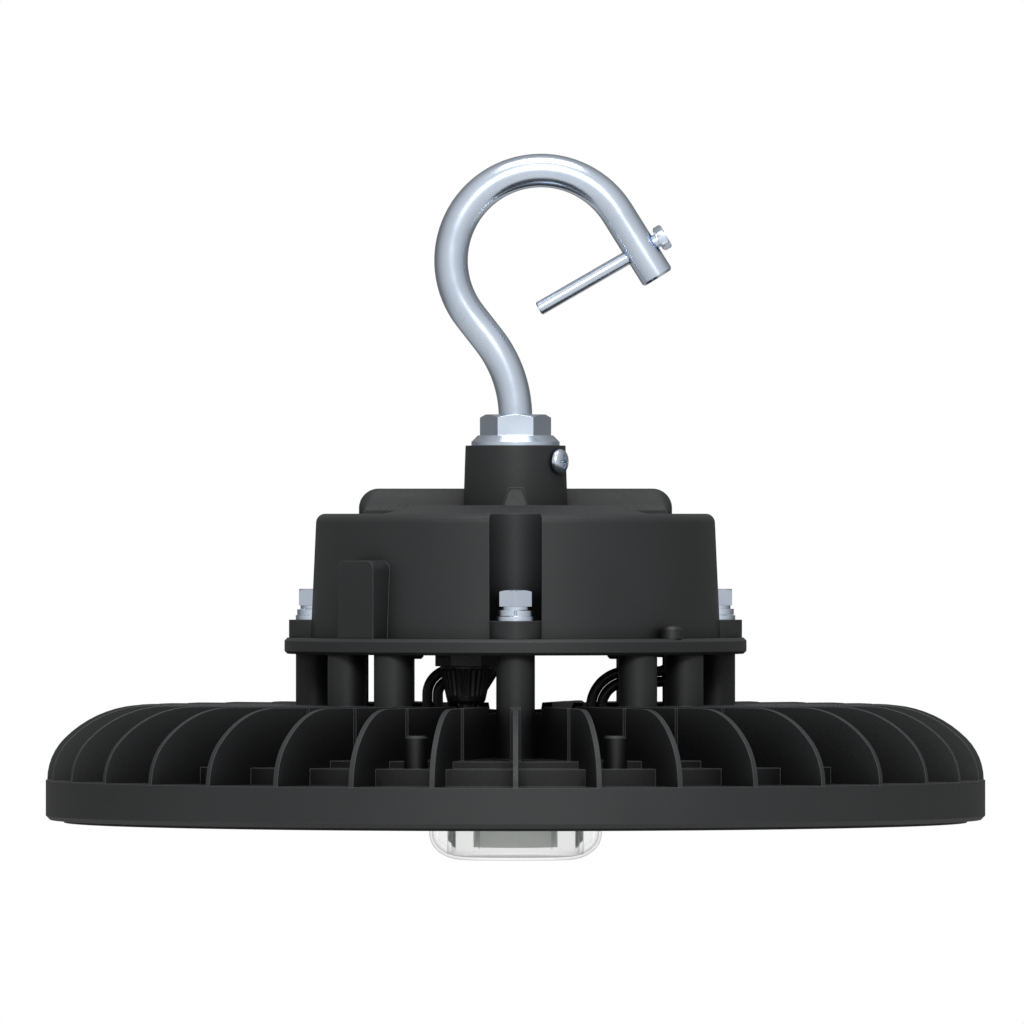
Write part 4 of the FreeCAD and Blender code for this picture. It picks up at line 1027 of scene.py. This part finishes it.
@dataclass
class Cables:
    """Leads, gland and grommets between the driver and the light engine, in millimetres."""

    gland_flutes: int = 24
    gland_flute_depth: float = 0.7
    cap_foot: float = 0.73  # shares of the cap's radius, of its foot and of its height
    cap_bore: float = 0.45
    cap_end: float = 0.85
    cap_bevel: float = 0.9
    cap_grip: tuple[float, float, float] = (0.2, 0.25, 0.9)
    cap_swell: tuple[float, float] = (0.18, 0.25)
    cap_rim: float = 0.93

    def build(self) -> None:
        """Dress the leads and grommets, and make the gland's ribbed cap."""
        dress_nodes(JACKET, "sensor_lead", "led_lead_outer", "led_lead_inner")
        dress_nodes(JACKET, "left_lead_outer", "left_lead_middle", "left_lead_inner")
        dress_nodes(RUBBER, "plate_grommets", "base_grommets")
        dress_nodes(NYLON, "gland_body", "gland_nut")
        self.build_gland_cap()

    def build_gland_cap(self) -> None:
        """Make the gland's cap with its grip ribs."""
        low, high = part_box("gland_cap")
        middle = (low + high) / 2
        radius = (high.x - low.x) / 2 / MM
        tall = (high.z - low.z) / MM
        foot = radius * self.cap_foot
        bore = foot * self.cap_bore
        plain, start, stop = (tall * share for share in self.cap_grip)
        first, second = (foot + (radius - foot) * share for share in self.cap_swell)
        cap = Shape()
        cap.turned(
            [
                Ring(bore, 0.0),
                Ring(foot * self.cap_end, 0.0),
                Ring(foot, self.cap_bevel),
                Ring(first, plain),
                Ring(second, start, self.gland_flute_depth),
                Ring(radius, stop, self.gland_flute_depth),
                Ring(radius, tall * self.cap_rim),
                Ring(radius, tall),
                Ring(bore, tall),
                Ring(bore, 0.0),
            ],
            Matrix.Translation(Vector((middle.x, middle.y, low.z))),
            around=self.gland_flutes * 6,
            flutes=self.gland_flutes,
        )
        add_piece("gland_cap_ribbed", cap.mesh("gland_cap_ribbed"), NYLON, ["gland_cap"])


@dataclass
class LightEngine:
    """Heatsink, LED board, lens plate, ring and their screws, in millimetres."""

    led_rings: tuple[tuple[float, int], ...] = ((52, 12), (86, 20), (120, 28))
    first_angle: float = 5.0
    dome_radius: float = 6.5
    dome_high: float = 1.9
    dome_sink: float = 1.0
    dome_angles: tuple[float, ...] = (0, 15, 32, 50, 70)
    lens_hole: float = 32.0
    lens_edge: float = 0.4
    phosphor_radius: float = 1.9
    phosphor_high: float = 0.12
    phosphor_outline: tuple[tuple[float, float], ...] = ((1, 0), (0.95, 0.7), (0.6, 1), (0, 1))
    ring_screws: int = 8
    ring_screw_radius: float = 156.7
    board_screws: int = 4
    board_screw_radius: float = 103.0
    head_radius: float = 2.8
    head_high: float = 1.6
    shank_radius: float = 1.5

    def build(self) -> None:
        """Dress the casting, board and ring, and make the lenses, chips' phosphor and screws."""
        dress_nodes(COAT, "heatsink", "lens_ring")
        dress_nodes(WHITE_BOARD, "led_board")
        dress_nodes(WHITE, "led_chips")
        dress_nodes(SILICONE, "lens_gasket")
        self.build_phosphor()
        self.build_lens_plate()
        self.build_screws("lens_screws", self.ring_screws, self.ring_screw_radius)
        self.build_screws("led_board_screws", self.board_screws, self.board_screw_radius)

    def led_places(self, level: float) -> list[Matrix]:
        """Give the place of each LED.

        Args:
            level: Their height in millimetres.

        Returns:
            The places, ring by ring.
        """
        places = []
        for radius, count in self.led_rings:
            places += spread(count, radius, level, self.first_angle)
        return places

    def build_phosphor(self) -> None:
        """Make the round phosphor spot under each chip."""
        low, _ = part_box("led_chips")
        radius, deep = self.phosphor_radius, self.phosphor_high
        outline = [Ring(radius * out, -deep * down) for out, down in self.phosphor_outline]
        spots = Shape()
        for place in self.led_places(low.z / MM):
            spots.turned(outline, place, around=20)
        add_piece("led_phosphor", spots.mesh("led_phosphor"), PHOSPHOR)

    def build_lens_plate(self) -> None:
        """Make the clear plate with a shallow lens under each LED."""
        low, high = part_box("lens_plate")
        inner, outer = self.lens_hole, (high.x - low.x) / 2 / MM
        bottom, top = low.z / MM, high.z / MM
        plate = Shape()
        plate.turned(
            [
                Ring(inner, bottom),
                Ring(outer - self.lens_edge, bottom),
                Ring(outer, bottom + self.lens_edge),
                Ring(outer, top),
                Ring(inner, top),
                Ring(inner, bottom),
            ],
            around=180,
        )
        wide, deep = self.dome_radius, self.dome_high
        arc = [math.radians(a) for a in self.dome_angles]
        lens = [Ring(0, self.dome_sink), Ring(wide, self.dome_sink)]
        lens += [Ring(wide * math.cos(a), -deep * math.sin(a)) for a in arc]
        lens.append(Ring(0, -deep))
        domes = Shape()
        for place in self.led_places(bottom):
            domes.turned(lens, place, around=32)
        mesh = carved(plate.mesh("plate"), domes.mesh("domes"), "UNION")
        add_piece("lens_plate_domed", mesh, CLEAR, ["lens_plate"])

    def build_screws(self, node: str, count: int, radius: float) -> None:
        """Make a ring of cross-head screws that point down, in place of a CAD node.

        Args:
            node: Name of the node.
            count: How many screws it holds.
            radius: Their distance from the axis in millimetres.
        """
        low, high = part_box(node)
        seat = low.z / MM + self.head_high
        screw = cross_head(self.head_radius, self.head_high, self.shank_radius, high.z / MM - seat)
        over = Matrix.Rotation(math.pi, 4, "X")
        ring = Shape()
        ring.copies(screw, [place @ over for place in spread(count, radius, seat)])
        add_piece(node + "_crossed", ring.mesh(node + "_crossed"), ZINC, [node])


@dataclass
class Sensor:
    """Sensor under the light engine, in millimetres."""

    cover_radius: float = 30.8
    cover_flat: float = 19.0
    cover_corner: float = 9.3
    cover_wall: float = 1.0
    corner_steps: int = 12

    def build(self) -> None:
        """Dress the sensor's pieces and make its clear cover."""
        dress_nodes(MILKY, "sensor_body")
        dress_nodes(WHITE, "sensor_module")
        dress_nodes(GREEN_BOARD, "sensor_board")
        dress_nodes(SILICONE, "sensor_gasket")
        dress_nodes(ZINC, "sensor_screws")
        self.build_cover()

    def build_cover(self) -> None:
        """Make the thin clear cover with its elliptical corner."""
        _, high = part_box("sensor_cover")
        top = high.z / MM
        shells = []
        for inset in (0.0, self.cover_wall):
            flat, corner = self.cover_flat - inset / 2, self.cover_corner - inset
            reach = self.cover_radius - inset - flat
            shell = [Ring(0, inset)]
            for step in range(self.corner_steps + 1):
                angle = math.pi / 2 * step / self.corner_steps
                level = inset + corner * (1 - math.cos(angle))
                shell.append(Ring(flat + reach * math.sin(angle), level))
            shells.append([*shell, Ring(self.cover_radius - inset, top)])
        cover = Shape()
        cover.turned([*shells[0], *reversed(shells[1])], around=120)
        add_piece("sensor_cover_clear", cover.mesh("sensor_cover_clear"), CLEAR, ["sensor_cover"])


@dataclass
class Lamp:
    """A soft rectangular lamp.

    Attributes:
        name: Its name.
        spot: Where it stands, in metres.
        size: Its width and height.
        power: Its power in watts.
    """

    name: str
    spot: tuple[float, float, float]
    size: tuple[float, float]
    power: float


@dataclass
class Studio:
    """Pale floor, white surroundings, soft lamps and the camera, in metres."""

    floor_level: float = -0.6
    floor_radius: float = 3.0
    fade_start: float = 0.7
    fade_end: float = 2.6
    floor_colour: str = "#EDEDEB"
    floor_second: str = "#F2F2F0"
    floor_cloud: float = 400.0  # millimetres
    target: tuple[float, float, float] = (0.0, 0.0, 0.12)
    camera_spot: tuple[float, float, float] = (-0.00125, -5.6, 0.124)
    camera_lens: float = 552.0
    sensor: float = 36.0
    sky: float = 0.40
    ground: float = 0.14
    front_shine: float = 0.88
    back_shine: float = 0.20
    top_shine: float = 0.30
    sky_span: tuple[float, float] = (-0.6, 0.8)  # height of the direction, from ground to sky
    shine_span: tuple[float, float] = (-1.0, 0.55)  # depth of the direction, from front to back
    top_span: tuple[float, float] = (0.2, 1.0)
    sight: float = 100.0
    lamps: tuple[Lamp, ...] = (
        Lamp("front", (0.1, -3.0, 1.5), (1.2, 1.0), 57.0),
        Lamp("top", (0.0, -0.5, 2.2), (1.6, 1.2), 20.0),
    )

    def build(self) -> None:
        """Make the studio and the camera."""
        self.build_floor()
        self.build_world()
        for lamp in self.lamps:
            self.build_lamp(lamp)
        self.build_camera()

    def build_floor(self) -> None:
        """Make a round floor that is seen only from above and fades out into the background."""
        disc = Shape()
        place = Matrix.Translation((0, 0, self.floor_level))
        disc.turned([Ring(0, 0), Ring(self.floor_radius / MM, 0)], place, around=96)
        mesh = disc.mesh("floor")
        if mesh.polygons[0].normal.z < 0:
            mesh.flip_normals()
        material = bpy.data.materials.new("Matt painted floor")
        material.use_nodes = True
        tree = material.node_tree
        tree.nodes.clear()
        where = add_node(tree, "TexCoord").outputs["Object"]
        cloud = add_node(tree, "TexNoise", {"Vector": where, "Scale": per_metre(self.floor_cloud)})
        ends = {0: cloud, 6: linear(self.floor_colour), 7: linear(self.floor_second)}
        tone = add_node(tree, "Mix", ends, IN_COLOUR).outputs[2]
        paint = add_node(tree, "BsdfDiffuse", {"Color": tone})
        clear = add_node(tree, "BsdfTransparent")
        away = add_node(tree, "VectorMath", {0: where}, {"operation": "LENGTH"})
        inputs = {"Value": away.outputs["Value"]}
        inputs |= {"From Min": self.fade_start, "From Max": self.fade_end}
        settings = {"interpolation_type": "SMOOTHSTEP"}
        fade = add_node(tree, "MapRange", inputs, settings)
        back = add_node(tree, "NewGeometry").outputs["Backfacing"]
        gone = add_node(tree, "Math", {0: fade, 1: back}, {"operation": "MAXIMUM"})
        mix = add_node(tree, "MixShader", {0: gone, 1: paint, 2: clear})
        add_node(tree, "OutputMaterial", {"Surface": mix})
        mesh.materials.append(material)
        floor = bpy.data.objects.new("floor", mesh)
        bpy.context.scene.collection.objects.link(floor)

    def build_world(self) -> None:
        """Light softly from all round, paler above, before a plain white background."""
        world = bpy.data.worlds.new("studio")
        bpy.context.scene.world = world
        world.use_nodes = True
        tree = world.node_tree
        tree.nodes.clear()
        towards = add_node(tree, "TexCoord").outputs["Generated"]
        parts = add_node(tree, "SeparateXYZ", {0: towards}).outputs
        ramps = []
        for axis, span, ends in (
            ("Z", self.sky_span, (self.ground, self.sky)),
            ("Y", self.shine_span, (self.front_shine, self.back_shine)),
            ("Z", self.top_span, (0.0, self.top_shine)),
        ):
            inputs = {"Value": parts[axis], "From Min": span[0], "From Max": span[1]}
            inputs |= {"To Min": ends[0], "To Max": ends[1]}
            ramps.append(add_node(tree, "MapRange", inputs))
        level, across, above = ramps
        shine = add_node(tree, "Math", {0: across, 1: above}, {"operation": "ADD"})
        soft, glossy, plain = (
            add_node(tree, "Background", {"Color": (1, 1, 1, 1), "Strength": strength})
            for strength in (level, shine, 1.0)
        )
        rays = add_node(tree, "LightPath").outputs
        mix = add_node(tree, "MixShader", {0: rays["Is Glossy Ray"], 1: soft, 2: glossy})
        inputs = {0: rays["Is Camera Ray"], 1: rays["Is Transmission Ray"]}
        seen = add_node(tree, "Math", inputs, {"operation": "MAXIMUM"})
        mix = add_node(tree, "MixShader", {0: seen, 1: mix, 2: plain})
        add_node(tree, "OutputWorld", {"Surface": mix})

    def build_lamp(self, lamp: Lamp) -> None:
        """Hang one lamp that faces the light.

        Args:
            lamp: The lamp.
        """
        data = bpy.data.lights.new(lamp.name, "AREA")
        data.shape = "RECTANGLE"
        data.size, data.size_y = lamp.size
        data.energy = lamp.power
        thing = bpy.data.objects.new(lamp.name, data)
        bpy.context.scene.collection.objects.link(thing)
        spot = Vector(lamp.spot)
        thing.location = spot
        thing.rotation_mode = "QUATERNION"
        thing.rotation_quaternion = (Vector(self.target) - spot).to_track_quat("-Z", "Y")
        thing.visible_camera = False

    def build_camera(self) -> None:
        """Set up the long-lens camera, level with the driver housing."""
        data = bpy.data.cameras.new("camera")
        data.lens = self.camera_lens
        data.sensor_width = self.sensor
        data.clip_end = self.sight
        camera = bpy.data.objects.new("camera", data)
        bpy.context.scene.collection.objects.link(camera)
        camera.location = self.camera_spot
        camera.rotation_euler = (math.radians(90), 0, 0)
        bpy.context.scene.camera = camera


def main() -> None:
    """Build the studio and the light, and report each piece."""
    logging.basicConfig(level=logging.INFO, format="%(message)s")
    bpy.context.scene.view_settings.view_transform = "Standard"
    for assembly in (Studio(), Hanger(), DriverBox(), Cables(), LightEngine(), Sensor()):
        LOG.info("Building %s", type(assembly).__name__)
        assembly.build()


if __name__ == "__main__":
    main()
